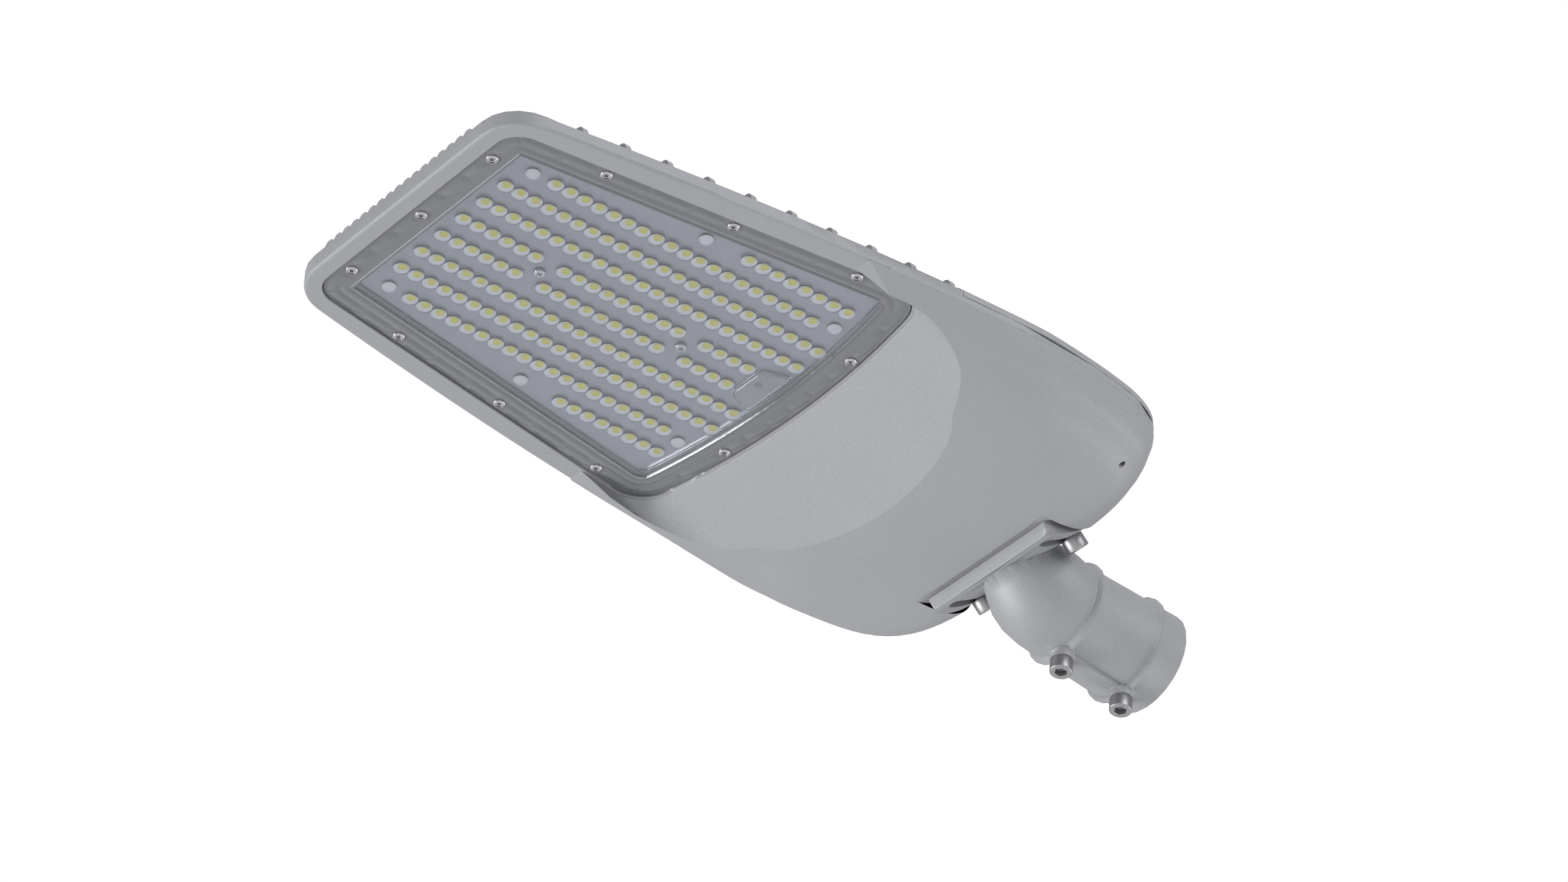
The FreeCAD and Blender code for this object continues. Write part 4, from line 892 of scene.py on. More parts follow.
@dataclass
class RecessLine:
    """Outline of the lens recess, walked by arc length, with its outward direction."""

    front: float = 649.0
    rear: float = 320.5
    half_front: float = 113.0
    half_rear: float = 149.0
    station_front: float = 626.0
    station_rear: float = 375.0
    arc: float = 700.0
    corner_front: float = 20.0
    corner_rear: float = 28.0
    corner_steps: int = 8
    close_share: float = 0.3
    least_chord: float = 0.25

    def __post_init__(self) -> None:
        """Works out the corner centres and the run of pieces."""
        slope = (self.half_rear - self.half_front) / (self.station_front - self.station_rear)
        lean = math.atan(slope)
        self.outward = Vector((math.sin(lean), math.cos(lean), 0))
        along = Vector((self.outward.y, -self.outward.x, 0))
        origin = Vector((self.station_front, self.half_front, 0))
        centre = origin - self.outward * self.corner_front
        self.centre_front = centre + along * ((self.front - self.corner_front - centre.x) / along.x)
        self.axis = Vector((self.rear + self.arc, 0, 0))
        base = origin - self.outward * self.corner_rear - self.axis
        middle = base.dot(along)
        reach = math.sqrt(middle ** 2 - base.dot(base) + (self.arc - self.corner_rear) ** 2)
        self.centre_rear = origin - self.outward * self.corner_rear + along * (-middle - reach)
        self.lean = lean
        way = (self.centre_rear - self.axis).normalized()
        self.rear_turn = math.atan2(way.y, way.x)

    def half_line(self, step: float, marks: Sequence[float]) -> list[tuple[Vector, Vector]]:
        """Points and outward directions from the front middle to the rear middle, on the +Y side.

        Args:
            step: Longest chord in millimetres.
            marks: Arc lengths that get a point.

        Returns:
            Points with their outward directions.
        """
        spans = self._spans()
        total = self.total()
        number = math.ceil(total / step)
        places = [total * k / number for k in range(number + 1)]
        knots = []
        run = 0.0
        for span in spans:
            run += span[0]
            knots.append(run)
            if span[1] == "arc" and span[4] < self.arc:
                knots += [run - span[0] * k / self.corner_steps for k in range(1, self.corner_steps)]
        wanted = sorted(set(list(marks) + knots))
        for place in places:
            if all(abs(place - mark) > step * self.close_share for mark in wanted):
                wanted.append(place)
        wanted = sorted(set([0.0, total] + wanted))
        kept = [wanted[0]]
        for place in wanted[1:]:
            if place - kept[-1] > self.least_chord:
                kept.append(place)
        kept[-1] = total
        return [self.at(place) for place in kept]

    def _spans(self) -> list[tuple]:
        """Runs of the outline on the +Y side: length, kind and data."""
        start = Vector((self.front, 0, 0))
        first = self.centre_front + Vector((self.corner_front, 0, 0))
        turn_f = math.pi / 2 - self.lean
        side_a = self.centre_front + self.outward * self.corner_front
        side_b = self.centre_rear + self.outward * self.corner_rear
        turn_r = self.rear_turn - turn_f
        rear_reach = math.pi - self.rear_turn
        return [
            ((first - start).length, "line", start, Vector((1, 0, 0)), 0.0),
            (self.corner_front * turn_f, "arc", self.centre_front, 0.0, self.corner_front),
            ((side_b - side_a).length, "line", side_a, self.outward, 0.0),
            (self.corner_rear * turn_r, "arc", self.centre_rear, turn_f, self.corner_rear),
            (self.arc * rear_reach, "arc", self.axis, self.rear_turn, self.arc),
        ]

    def at(self, place: float) -> tuple[Vector, Vector]:
        """Point and outward direction at an arc length from the front middle."""
        for length, kind, base, data, radius in self._spans():
            if place <= length + 1e-6 or radius == self.arc:
                if kind == "line":
                    along = Vector((-data.y, data.x, 0))
                    return base + along * place, data
                turn = data + place / radius
                way = Vector((math.cos(turn), math.sin(turn), 0))
                return base + way * radius, way
            place -= length
        return base, way

    def total(self) -> float:
        """Length of the outline on one side."""
        return sum(span[0] for span in self._spans())

    def length_at(self, point: Vector, steps: int = 800) -> float:
        """Arc length of the outline point nearest to a point."""
        total = self.total()
        return min((total * k / steps for k in range(steps + 1)),
                   key=lambda place: (self.at(place)[0] - point).length)


@dataclass
class LensCover:
    """Moulded lens cover: flange with pockets between the screws, glossy curved band and flat window."""

    line: RecessLine = field(default_factory=RecessLine)
    gap: float = 0.4
    face: float = 57.5
    foot: float = 62.2
    pocket_near: float = 3.6
    pocket_far: float = 10.4
    pocket_depth: float = 0.45
    pocket_draft: float = 0.7
    divider: float = 1.3
    screws: tuple = ((640.6, 0.0), (640.6, 77.0), (574.9, 113.5), (479.7, 127.1), (385.6, 140.6),
                     (330.6, 67.8))
    screw_land: float = 6.2
    long_run: float = 50.0
    band: tuple = ((12.0, 0.0), (13.0, -0.3), (14.4, -0.6), (16.2, -0.65), (17.6, -0.4), (18.3, -0.15),
                   (18.7, -0.5), (19.4, -0.8), (20.2, -0.8), (20.2, 1.7))
    band_foot: float = 18.0
    pane_inset: float = 20.25
    pane_rises: tuple = (-0.78, 1.68)
    chord: float = 9.0

    def marks(self) -> tuple[list[float], list[tuple[float, float]]]:
        """Arc lengths of screws and dividers on one side.

        Returns:
            All marks, and the runs (start, end) that stay level: screws and dividers.
        """
        at = [self.line.length_at(Vector((x, y, 0))) for x, y in self.screws]
        total = self.line.total()
        stops = at + [total]
        level = [(place - self.screw_land, place + self.screw_land) for place in at]
        for here, after in zip(stops, stops[1:]):
            number = 3 if after - here > self.long_run else 2
            for k in range(1, number):
                place = here + (after - here) * k / number
                level.append((place - self.divider / 2, place + self.divider / 2))
        level.append((total - self.divider / 2, total + 1.0))
        marks = [edge for pair in level for edge in pair if 0 < edge < total]
        return marks, level

    def rings(self, stations: Sequence[tuple[Vector, Vector]],
              rows: Sequence[tuple[float, float]]) -> list[list[Vector]]:
        """Rings of points at insets and levels, over both sides of the lamp.

        Args:
            stations: Points and outward directions of one side.
            rows: Inset and level of each ring.

        Returns:
            Rings in metres.
        """
        rings = []
        for inset, level in rows:
            half = [point - way * inset for point, way in stations]
            ring = [Vector((p.x, p.y, level)) * MM for p in half]
            ring += [Vector((p.x, -p.y, level)) * MM for p in reversed(half[1:-1])]
            rings.append(ring)
        return rings

    def build(self) -> bpy.types.Object:
        """Builds the cover."""
        marks, level = self.marks()
        stations = self.line.half_line(self.chord, marks)
        face = self.face
        section = [(self.gap, self.foot), (self.gap, face + 0.5), (self.gap + 0.5, face),
                   (self.pocket_near, face), (self.pocket_far, face)]
        section += [(inset, face + rise) for inset, rise in self.band]
        section += [(self.band_foot, self.foot), (self.gap, self.foot)]
        flange = ring_loft("lens_flange", self.rings(stations, section))
        edit(flange)
        self._pockets(flange, level)
        closed_up(flange)
        smooth(flange, 34.0)
        dress(flange, "lens_flange", Finish.LENS_PLASTIC, ["lens_cover"])
        # The flange gets an opaque grey that stands in for shade seen through clear plastic: painted shade.
        repaint(flange, PaintedShadeFlange())
        rows = [(self.pane_inset, face + rise) for rise in self.pane_rises]
        pane = solid_loft("lens_pane", self.rings(stations, rows))
        return dress(pane, "lens_pane", Finish.LENS_PLASTIC, ["lens_cover"])

    def _pockets(self, piece: bpy.types.Object, level: Sequence[tuple[float, float]]) -> None:
        """Sinks the shallow pockets of the flange.

        Args:
            piece: Cover in edit mode.
            level: Runs that stay level.
        """
        def in_pocket(face: bmesh.types.BMFace) -> bool:
            """Tests whether a face is the floor of a pocket."""
            middle = face.calc_center_median() / MM
            if abs(middle.z - self.face) > 0.01:
                return False
            near = Vector((middle.x, abs(middle.y), 0))
            place = self.line.length_at(near)
            point, way = self.line.at(place)
            inset = (point - near).dot(way)
            if not self.pocket_near < inset < self.pocket_far:
                return False
            return not any(low < place < high for low, high in level)

        number = pick_faces(piece, in_pocket)
        log.info("lens cover pockets: %d faces", number)
        bpy.ops.mesh.inset(thickness=self.pocket_draft * MM, depth=-self.pocket_depth * MM)


# Underside


@dataclass
class DriverBulge:
    """Smooth skin of the driver bulge and its crescent face, over the casting's facets.

    Each row of rises gives an outline's height over the floor, how much narrower and shorter behind
    it is than the rim, and its reach in front of the centre.
    """

    rim: float = 56.0
    floor: float = 13.5
    half: float = 172.5
    centre: float = 205.0
    reach: float = 104.0
    tail_power: float = 4.5
    taper: float = 0.0152
    taper_at: float = 245.0
    slope: float = 0.53
    lip: float = 2.0
    proud: float = 0.1
    tuck: float = 0.3
    horn: float = 392.0
    ramp: tuple = (292.0, 32.0, 392.0)
    seat_axis: tuple = (179.3, 90.4)
    seat_radius: float = 79.0
    seat_half: float = 66.7
    seat_turns: tuple = (15.5, 118.0)
    drain: tuple = (144.9, 132.8, 2.2)
    front_reach: float = 530.0
    taper_power: float = 1.44
    wall: float = 0.8
    rises: tuple = (
        (38.0, 2.2, 0.4, 425.0), (32.8, 5.5, 1.0, 338.0), (28.0, 9.4, 2.0, 267.0), (23.7, 14.5, 3.5, 215.0),
        (17.6, 20.5, 6.5, 142.0), (12.5, 27.5, 10.5, 93.0), (8.6, 38.5, 15.5, 76.0),
        (5.5, 54.5, 21.0, 62.0), (2.0, 87.5, 30.0, 41.0), (0.0, 118.0, 43.0, 26.0),
    )
    clear_x: float = 800.0
    clear_y: float = 270.0
    line: RecessLine = field(default_factory=RecessLine)

    def sections(self) -> list[tuple[float, float, float, float]]:
        """Level, half width, rear reach and front reach of the outlines, lowest last."""
        tail = self.centre - self.reach
        rows = [(self.rim, self.half, tail, self.front_reach)]
        rows += [(self.floor + rise, self.half - narrow, tail - short, front)
                 for rise, narrow, short, front in self.rises]
        return rows

    def refined(self, steps: int = 4) -> list[tuple[float, ...]]:
        """Sections with smooth steps between them."""
        rows = self.sections()
        padded = [tuple(2 * a - b for a, b in zip(rows[0], rows[1]))] + rows
        padded.append(tuple(2 * a - b for a, b in zip(rows[-1], rows[-2])))
        fine = []
        for k in range(1, len(padded) - 2):
            for step in range(steps):
                share = step / steps
                fine.append(tuple(self._between(padded[k - 1:k + 3], n, share) for n in range(4)))
        fine.append(rows[-1])
        return fine

    def _between(self, rows: Sequence[tuple], column: int, share: float) -> float:
        """Smooth value between the middle two of four rows."""
        a, b, c, d = (row[column] for row in rows)
        turn = (2 * b + (c - a) * share + (2 * a - 5 * b + 4 * c - d) * share ** 2
                + (3 * b - 3 * c + d - a) * share ** 3)
        return turn / 2

    def egg(self, row: Sequence[float], samples: int = 120) -> list[Vector]:
        """Ring of points of one section in metres."""
        level, half, rear, front = row
        ring = []
        for k in range(samples):
            turn = 2 * math.pi * k / samples
            c, s = math.cos(turn), math.sin(turn)
            power, reach = (2.0, front) if c > 0 else (self.tail_power, rear)
            radius = ((abs(c) / reach) ** power + (abs(s) / half) ** power) ** (-1.0 / power)
            x = self.centre + radius * c
            run = max(self.taper_at - x, 0.0)
            y = radius * s * (1.0 - self.taper * run ** self.taper_power / self.half)
            ring.append(Vector((x, y, level - self.proud)) * MM)
        return ring

    def lens_tool(self) -> bpy.types.Object:
        """Oblique block under the lens, whose rear face makes the crescent."""
        margin = self.lip - self.tuck
        stations = [p + way * margin for p, way in self.line.half_line(3.0, []) if p.x < self.horn]
        half = [Vector((self.clear_x, self.clear_y, 0)), Vector((self.horn, self.clear_y, 0))]
        half.append(Vector((self.horn, stations[0].y, 0)))
        half += stations
        outline = half + [Vector((v.x, -v.y, 0)) for v in reversed(half[:-1])]
        drop = Vector((-1.0, 0.0, -self.slope)).normalized() * 400.0
        rings = []
        for shift in (drop * -0.02, drop):
            rings.append([(v + Vector((0, 0, self.rim)) + shift) * MM for v in outline])
        return solid_loft("lens_tool", rings)

    def ramp_tool(self) -> bpy.types.Object:
        """Block under a ramp that lets the skin fade into the rim."""
        start, drop, end = self.ramp
        steepness = drop / (end - start)
        over = 8.0
        bottom = self.floor - 20.0
        profile = [(start - over, self.rim - drop - over * steepness), (start - over, bottom),
                   (self.clear_x, bottom), (self.clear_x, self.rim + (self.clear_x - end) * steepness)]
        rings = [[Vector((x, side * self.clear_y, z)) * MM for x, z in profile] for side in (-1, 1)]
        return solid_loft("ramp_tool", rings)

    def seat_tool(self, steps: int = 24) -> bpy.types.Object:
        """Round sector that clears the flange."""
        low, high = self.seat_turns
        turns = [math.radians(low + (high - low) * k / steps) for k in range(steps + 1)]
        ways = [(math.sin(turn), math.cos(turn)) for turn in turns]
        x, z = self.seat_axis
        near = self.seat_radius - 0.4
        far = self.seat_radius + 70.0
        profile = [(x - near * s, z - near * c) for s, c in ways]
        profile += [(x - far * s, z - far * c) for s, c in reversed(ways)]
        rings = [[Vector((px, side * self.seat_half, pz)) * MM for px, pz in profile] for side in (-1, 1)]
        return solid_loft("seat_tool", rings)

    def build(self) -> bpy.types.Object:
        """Builds the skin."""
        rings = [self.egg(row) for row in self.refined()]
        skin = solid_loft("bulge_skin", rings)
        x, y, radius = self.drain
        drains = [cylinder(24, radius, 200.0, (x, side * y, 0.0)) for side in (1, -1)]
        for tool in [self.lens_tool(), self.seat_tool(), self.ramp_tool()] + drains:
            carved(skin, tool, "MANIFOLD")
        top = (self.rim - 2) * MM
        edit(skin)
        pick_faces(skin, lambda face: face.normal.z > 0.99 and face.calc_center_median().z > top)
        bpy.ops.mesh.delete(type="FACE")
        bpy.ops.object.mode_set(mode="OBJECT")
        applied(skin, "SOLIDIFY", thickness=self.wall * MM, offset=-1.0)
        smooth(skin, 14.0)
        return dress(skin, "bulge_skin", Finish.POWDER_COAT)


# Optics


@dataclass
class LedOptics:
    """Clear optic sheet, a round lens at each LED, and the LED packages and faces seen through them."""

    pitch: float = 12.0
    row_pitch: float = 22.775
    first: float = 614.9
    rows: tuple = (
        "..............oooooooo.",
        "..ooooooooooooooooooo..",
        "ooooooooooooooooooooooo",
        "ooooooooooooooooooooooo",
        "oooooo.ooooooooo.oooo..",
    )
    spacers: tuple = ((609.0, 78.8), (481.8, 100.8), (358.5, 84.2))
    sheet_low: float = 62.9
    sheet_high: float = 64.1
    radius: float = 5.7
    height: float = 3.4
    sink: float = 0.05
    peg_radius: float = 4.6
    peg_height: float = 2.6
    sheet_inset: float = 21.8
    chord: float = 12.0
    face_radius: float = 2.8
    face_depth: float = 0.65
    # Yellow faces sit off the middle of the white packages, so each lens shows a white crescent on the same
    # side from every view. The white is the packages' own colour; its fixed side is a painted highlight.
    face_shift: Vector = field(default_factory=lambda: Vector((-0.2, 1.3, 0.0)))
    package_radius: float = 5.0
    package_depth: float = 0.4
    plate: float = 0.2
    lens_look: ClearPlastic = ClearPlastic("lens_dome", (0.97, 0.98, 1.0), 0.08, index=1.14)
    package_look: Moulding = Moulding("led_package", (0.84, 0.84, 0.84), 0.45, 500.0, 0.01)
    line: RecessLine = field(default_factory=RecessLine)

    def places(self) -> list[Vector]:
        """Centres of all LEDs in millimetres."""
        found = []
        for j, row in enumerate(self.rows):
            y = (len(self.rows) - 0.5 - j) * self.row_pitch
            for i, mark in enumerate(row):
                if mark == "o":
                    x = self.first - i * self.pitch
                    found += [Vector((x, y, 0)), Vector((x, -y, 0))]
        return found

    def dome(self, radius: float, height: float, segments: int = 16, rings: int = 10) -> bpy.types.Object:
        """One lens: the lower half of a ball, flattened.

        Args:
            radius: Radius at the sheet.
            height: Height under the sheet.
            segments: Faces round the lens.
            rings: Rows of the whole ball.

        Returns:
            The lens, with its foot at the origin.
        """
        nothing_selected()
        bpy.ops.mesh.primitive_uv_sphere_add(segments=segments, ring_count=rings, radius=radius * MM)
        piece = bpy.context.object
        edit(piece)
        bpy.ops.mesh.select_all(action="SELECT")
        bpy.ops.mesh.bisect(plane_co=(0, 0, 1e-7), plane_no=(0, 0, 1), clear_outer=True, use_fill=True)
        bpy.ops.mesh.select_all(action="SELECT")
        bpy.ops.transform.resize(value=(1, 1, height / radius))
        bpy.ops.object.mode_set(mode="OBJECT")
        return settle(piece)

    def plates(self, name: str, places: Sequence[Vector], radius: float, level: float,
               finish: Finish) -> bpy.types.Object:
        """Thin round plates inside the lenses, one at each place.

        Args:
            name: Name of the piece.
            places: Centres in millimetres.
            radius: Radius of a plate.
            level: Height of their middle.
            finish: Their finish.

        Returns:
            The plates as one piece.
        """
        plate = cylinder(20, radius, self.plate)
        piece = copies_of(plate, [move_to((p.x, p.y, level)) for p in places], name)
        return dress(piece, name, finish)

    def build(self) -> None:
        """Builds the sheet, the lenses and the LEDs."""
        places = self.places()
        pegs = [Vector((x, side * y, 0)) for x, y in self.spacers for side in (1, -1)]
        # Shifted faces leave a white crescent of package on one side of each lens: partly painted
        # highlight.
        faces = [p + self.face_shift for p in places]
        low = self.sheet_low
        self.plates("led_faces", faces, self.face_radius, low - self.face_depth, Finish.PHOSPHOR)
        packages = self.plates("led_packages", places + pegs, self.package_radius, low - self.package_depth,
                               Finish.BOARD)
        repaint(packages, self.package_look)
        groups = []
        for name, radius, height, centres in (("lens", self.radius, self.height, places),
                                              ("peg", self.peg_radius, self.peg_height, pegs)):
            feet = [move_to((p.x, p.y, low - self.sink)) for p in centres]
            groups.append(copies_of(self.dome(radius, height), feet, name))
        stations = self.line.half_line(self.chord, [])
        rows = [(self.sheet_inset, low), (self.sheet_inset, self.sheet_high)]
        sheet = smooth(solid_loft("optic_sheet", LensCover(self.line).rings(stations, rows)), 40.0)
        dress(sheet, "optic_sheet", Finish.OPTIC_PLASTIC, ["optic_plate"])
        lenses = smooth(joined(groups, "optic_lenses"), 40.0)
        dress(lenses, "optic_lenses", Finish.OPTIC_PLASTIC)
        repaint(lenses, self.lens_look)


# Fasteners


@dataclass
class CapBolt:
    """M10 socket head bolt: chamfered head with a hex socket, and the shank under it."""

    head: float = 16.0
    height: float = 10.0
    shank: float = 10.0
    length: float = 27.0
    hexagon: float = 8.0
    depth: float = 5.0
    chamfer: float = 0.9
    edge: float = 0.25

    def model(self) -> bpy.types.Object:
        """Bolt along +Z with its seat at the origin."""
        bolt = cylinder(40, self.head / 2, self.height, (0.0, 0.0, self.height / 2))
        edit(bolt)
        pick_faces(bolt, lambda face: face.normal.z > 0.9)
        bpy.ops.mesh.bevel(offset=self.chamfer * MM, segments=3, affect="EDGES")
        pick_faces(bolt, lambda face: face.normal.z < -0.9)
        bpy.ops.mesh.inset(thickness=(self.head - self.shank) / 2 * MM)
        bpy.ops.mesh.extrude_region_move(TRANSFORM_OT_translate={"value": (0, 0, -self.length * MM)})
        bpy.ops.object.mode_set(mode="OBJECT")
        carved(bolt, cylinder(6, self.hexagon / math.sqrt(3), 2 * self.depth, (0.0, 0.0, self.height)))
        applied(bolt, "BEVEL", width=self.edge * MM, segments=2, limit_method="ANGLE",
                angle_limit=math.radians(50.0))
        return smooth(bolt, 35.0)


@dataclass
class Bolts:
    """A group of equal bolts that stands for one CAD node."""

    node: str
    seats: Sequence[tuple[Point, Point]]
    bolt: CapBolt

    def build(self) -> bpy.types.Object:
        """Places the copies at their seats."""
        places = []
        for seat, outward in self.seats:
            turn = Vector(outward).to_track_quat("Z", "Y").to_matrix().to_4x4()
            places.append(move_to(seat) @ turn)
        piece = copies_of(self.bolt.model(), places, self.node + "_turned")
        return dress(piece, self.node + "_turned", Finish.BOLT_STEEL, [self.node])


@dataclass
class SpigotBolts:
    """Bolts of the tilted spigot: two through its round flange and two that clamp the pole.

    The flange's seat is an arc round seat_axis. A row of clamps is a bolt's station along the tube
    and the height of its seat over the tube's skin, whose radius tapers along the tube.
    """

    tilt: float = 5.0
    seat_axis: tuple = (179.3, 90.4)
    seat_reach: float = 89.1
    seat_turn: float = 45.7
    seat_side: float = 47.3
    clamps: tuple = ((23.5, 6.3), (78.5, 6.0))
    clamp_length: float = 11.5
    near_radius: float = 38.5
    far_radius: float = 36.2
    tube: float = 84.0

    def along(self) -> Point:
        """Direction of the tube towards the lamp."""
        lean = math.radians(self.tilt)
        return (math.cos(lean), 0.0, math.sin(lean))

    def build(self) -> None:
        """Builds both groups."""
        turn = math.radians(self.seat_turn)
        outward = (-math.sin(turn), 0.0, -math.cos(turn))
        x = self.seat_axis[0] + self.seat_reach * outward[0]
        z = self.seat_axis[1] + self.seat_reach * outward[2]
        seats = [((x, side * self.seat_side, z), outward) for side in (1, -1)]
        Bolts("flange_bolts", seats, CapBolt()).build()
        along = self.along()
        down = (along[2], 0.0, -along[0])
        seats = []
        for station, rise in self.clamps:
            reach = self.near_radius + (self.far_radius - self.near_radius) * station / self.tube + rise
            seats.append((tuple(along[k] * station + down[k] * reach for k in range(3)), down))
        Bolts("clamp_bolts", seats, CapBolt(length=self.clamp_length)).build()


@dataclass
class LensScrews:
    """M5 button screws of the lens cover, each with a ring round its hex socket."""

    level: float = 59.7
    head: float = 8.5
    height: float = 3.5
    length: float = 8.0
    shank: float = 5.0
    chamfer: float = 0.6
    rim: float = 1.0
    dish: float = 0.5
    hexagon: float = 3.5
    depth: float = 2.5
    places: tuple = LensCover.screws

    def model(self) -> bpy.types.Object:
        """One screw, its head towards -Z and its seat at the origin."""
        screw = cylinder(32, self.head / 2, self.height, (0.0, 0.0, -self.height / 2))
        edit(screw)
        pick_faces(screw, lambda face: face.normal.z < -0.9)
        bpy.ops.mesh.bevel(offset=self.chamfer * MM, segments=3, affect="EDGES")
        pick_faces(screw, lambda face: face.normal.z < -0.95)
        bpy.ops.mesh.inset(thickness=self.rim * MM)
        bpy.ops.mesh.extrude_region_move(TRANSFORM_OT_translate={"value": (0, 0, self.dish * MM)})
        pick_faces(screw, lambda face: face.normal.z > 0.9 and abs(face.calc_center_median().z) < 1e-5)
        bpy.ops.mesh.inset(thickness=(self.head - self.shank) / 2 * MM)
        bpy.ops.mesh.extrude_region_move(TRANSFORM_OT_translate={"value": (0, 0, self.length * MM)})
        bpy.ops.object.mode_set(mode="OBJECT")
        carved(screw, cylinder(6, self.hexagon / 2, 2 * self.depth, (0.0, 0.0, -self.height)))
        return smooth(screw, 35.0)

    def build(self) -> bpy.types.Object:
        """Places all eleven."""
        places = [move_to((x, side * y, self.level))
                  for x, y in self.places for side in ((1, -1) if y else (1,))]
        piece = copies_of(self.model(), places, "lens_screws_turned")
        return dress(piece, "lens_screws_turned", Finish.STEEL, ["lens_screws"])


@dataclass
class BoardScrews:
    """Two cross recess pan head screws through the optic sheet."""

    level: float = 62.9
    head: float = 7.8
    height: float = 2.0
    length: float = 7.0
    shank: float = 4.0
    dome: float = 0.9
    cross: Point = (4.4, 0.9, 2.6)
    cross_turn: float = 0.4
    places: tuple = ((542.9, 0.0), (422.9, 0.0))

    def model(self) -> bpy.types.Object:
        """One screw, its head towards -Z and its seat at the origin."""
        screw = cylinder(28, self.head / 2, self.height, (0.0, 0.0, -self.height / 2))
        edit(screw)
        pick_faces(screw, lambda face: face.normal.z < -0.9)
        bpy.ops.mesh.bevel(offset=self.dome * MM, segments=4, affect="EDGES")
        pick_faces(screw, lambda face: face.normal.z > 0.9)
        bpy.ops.mesh.inset(thickness=(self.head - self.shank) / 2 * MM)
        bpy.ops.mesh.extrude_region_move(TRANSFORM_OT_translate={"value": (0, 0, self.length * MM)})
        bpy.ops.object.mode_set(mode="OBJECT")
        for turn in (self.cross_turn, self.cross_turn + math.pi / 2):
            nothing_selected()
            bpy.ops.mesh.primitive_cube_add(size=1.0, location=(0, 0, -self.height * MM),
                                            rotation=(0, 0, turn))
            slot = bpy.context.object
            slot.scale = Vector(self.cross) * MM
            carved(screw, settle(slot))
        return smooth(screw, 35.0)

    def build(self) -> bpy.types.Object:
        """Places both."""
        places = [move_to((x, y, self.level)) for x, y in self.places]
        piece = copies_of(self.model(), places, "board_screws_turned")
        return dress(piece, "board_screws_turned", Finish.STEEL, ["board_screws"])


@dataclass
class WireCover:
    """Clear cap over the wire entry: a soft cornered trapezium."""

    front: float = 367.5
    length: float = 22.5
    narrow: float = 16.6
    wide: float = 25.0
    high: float = 62.9
    rise: float = 3.3
    draft: float = 1.2
    corner: float = 4.0
    edge: float = 1.3
    wall: float = 1.0

    def build(self) -> bpy.types.Object:
        """Builds the cap as a shell."""
        nothing_selected()
        bpy.ops.mesh.primitive_cube_add(size=2.0)
        cap = bpy.context.object
        edit(cap)
        mesh = bmesh.from_edit_mesh(cap.data)
        for vert in mesh.verts:
            at_front = vert.co.x > 0
            side = 1 if vert.co.y > 0 else -1
            top = vert.co.z > 0
            half = self.narrow if at_front else self.wide
            draw = 0.0 if top else self.draft
            x = self.front - draw if at_front else self.front - self.length + draw
            vert.co = Vector((x, side * (half - draw), self.high if top else self.high - self.rise)) * MM
        bmesh.update_edit_mesh(cap.data)
        pick_edges(cap, lambda edge: abs(edge.verts[0].co.z - edge.verts[1].co.z) > 1 * MM)
        bpy.ops.mesh.bevel(offset=self.corner * MM, segments=5, affect="EDGES")
        pick_faces(cap, lambda face: face.normal.z < -0.95)
        bpy.ops.mesh.bevel(offset=self.edge * MM, segments=4, affect="EDGES")
        pick_faces(cap, lambda face: face.normal.z > 0.95)
        bpy.ops.mesh.delete(type="FACE")
        bpy.ops.object.mode_set(mode="OBJECT")
        applied(cap, "SOLIDIFY", thickness=self.wall * MM, offset=-1.0)
        smooth(cap, 40.0)
        return dress(cap, "wire_cap", Finish.OPTIC_PLASTIC, ["wire_cover"])


# Carried nodes

CARRIED = {
    Finish.GASKET_RUBBER: ("cover_gasket", "lens_gasket", "inlet_grommet", "wire_plug"),
    Finish.STEEL: ("cover_screws", "tray_screws", "driver_screws", "small_screws"),
    Finish.BRASS: ("earth_screw",),
    Finish.BOARD: ("led_board",),
    Finish.PHOSPHOR: ("led_chips",),
    Finish.ZINC_SHEET: ("gear_tray",),
    Finish.DRIVER_CASE: ("led_driver",),
    Finish.TERMINAL_PLASTIC: ("terminal_block",),
    Finish.SURGE_CASE: ("surge_protector",),
}


def finish_carried(frame: dict) -> None:
    """Gives each CAD node that stays its material.
    """
    for finish, nodes in CARRIED.items():
        for node in nodes:
            piece = frame["nodes"][node]
            piece.data.materials.clear()
            piece.data.materials.append(Paint.of(finish))
            log.info("%s: kept, %s", node, finish.value)


# Studio


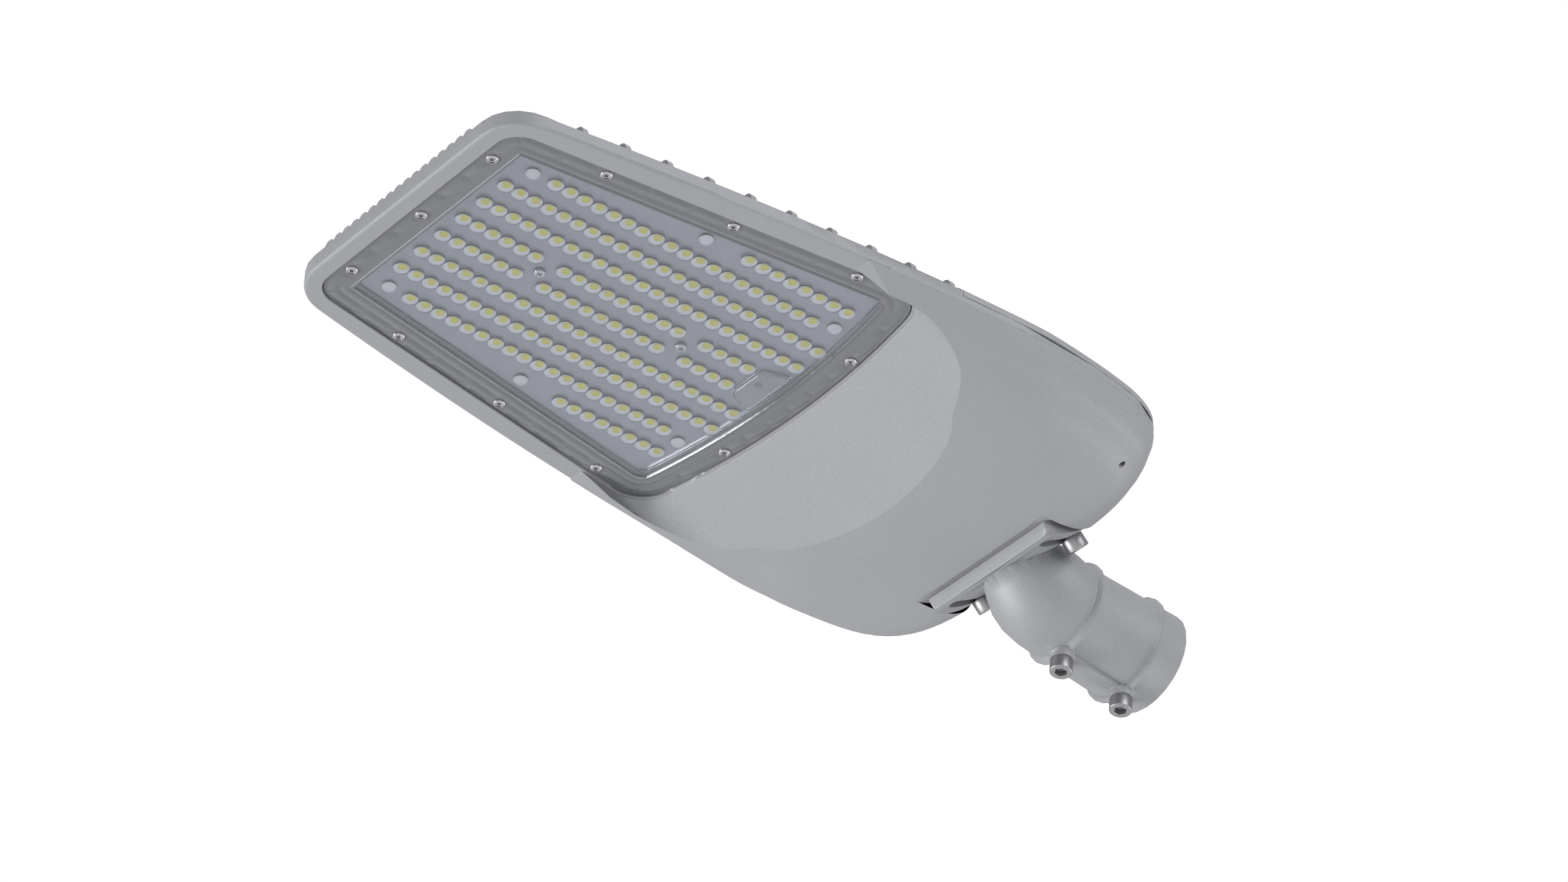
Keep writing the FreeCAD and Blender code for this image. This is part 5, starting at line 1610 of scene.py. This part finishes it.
@dataclass
class Studio:
    """White surroundings, soft lamps and the camera of the picture.

    Places are in metres. A lamp's row is its name, place, power in watts, panel side and colour.
    """

    floor_level: float = -9.0
    floor_size: float = 60.0
    ambient: float = 0.46
    white: Colour = (1.0, 1.0, 1.0)
    cool: Colour = (0.97, 0.98, 1.0)
    aim: Point = (0.33, 0.0, 0.04)
    lamps: tuple = (
        ("back", (-3.6, 0.8, -2.6), 60.0, 3.0, white),
        ("key", (6.6, -4.8, -3.6), 525.0, 4.0, white),
        ("fill", (0.0, 4.0, 1.2), 75.0, 3.0, cool),
        ("sky", (0.3, 0.4, 4.0), 30.0, 3.0, white),
    )
    focal_length: float = 151.113
    camera_place: Point = (2.49774557, 2.80157256, -2.66639126)
    camera_turn: Point = (127.29501598, -1.99772244, 140.77261282)

    def floor(self) -> None:
        """Pale floor far below the lamp."""
        nothing_selected()
        bpy.ops.mesh.primitive_plane_add(size=self.floor_size, location=(0, 0, self.floor_level))
        plane = settle(bpy.context.object)
        plane.name = "floor"
        plane.data.materials.append(Backdrop("floor_paint").material())

    def surroundings(self) -> None:
        """World: white where it is seen, softer where it lights."""
        world = bpy.data.worlds.new("studio")
        bpy.context.scene.world = world
        mix = Recipe("studio", world)
        white = mix.node("Background", {}, {"Color": self.white, "Strength": 1.0})
        soft = mix.node("Background", {}, {"Color": self.cool, "Strength": self.ambient})
        path = mix.node("LightPath")
        seen = mix.maths("MAXIMUM", Reading(mix, path.outputs["Is Camera Ray"]),
                         Reading(mix, path.outputs["Is Transmission Ray"]))
        share = mix.node("MixShader", {}, {0: seen, 1: soft.outputs[0], 2: white.outputs[0]})
        mix.node("OutputWorld", {}, {"Surface": share.outputs[0]})

    def lamp(self, name: str, place: Point, power: float, width: float, colour: Colour) -> None:
        """One soft lamp that faces the street light head.

        Args:
            name: Lamp name.
            place: Where it stands.
            power: Watts.
            width: Side of its panel.
            colour: Its colour.
        """
        data = bpy.data.lights.new(name, "AREA")
        data.shape = "SQUARE"
        data.size = width
        data.energy = power
        data.color = colour
        lamp = bpy.data.objects.new(name, data)
        bpy.context.scene.collection.objects.link(lamp)
        lamp.location = place
        lamp.rotation_euler = (Vector(self.aim) - Vector(place)).to_track_quat("-Z", "Y").to_euler()

    def camera(self) -> None:
        """Camera of the picture, below the lamp."""
        data = bpy.data.cameras.new("camera")
        data.lens = self.focal_length
        data.sensor_width = 36.0
        data.clip_start = 0.1
        data.clip_end = 100.0
        camera = bpy.data.objects.new("camera", data)
        bpy.context.scene.collection.objects.link(camera)
        camera.location = self.camera_place
        camera.rotation_euler = tuple(math.radians(angle) for angle in self.camera_turn)
        bpy.context.scene.camera = camera

    def build(self) -> None:
        """Sets up everything round the lamp."""
        self.floor()
        self.surroundings()
        for row in self.lamps:
            self.lamp(*row)
        self.camera()
        bpy.context.scene.view_settings.view_transform = "Standard"


def main() -> None:
    """Builds the dressed lamp."""
    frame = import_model()
    Studio().build()
    Casting("housing", Finish.POWDER_COAT).build(frame)
    Casting("driver_cover", Finish.POWDER_COAT).build(frame)
    bolts = SpigotBolts()
    Casting("spigot", Finish.POWDER_COAT_SPIGOT, axis=bolts.along(), rounds=0).build(frame)
    finish_carried(frame)
    DriverBulge().build()
    LensCover().build()
    LedOptics().build()
    WireCover().build()
    LensScrews().build()
    BoardScrews().build()
    bolts.build()
    log.info("done")


if __name__ == "__main__":
    main()
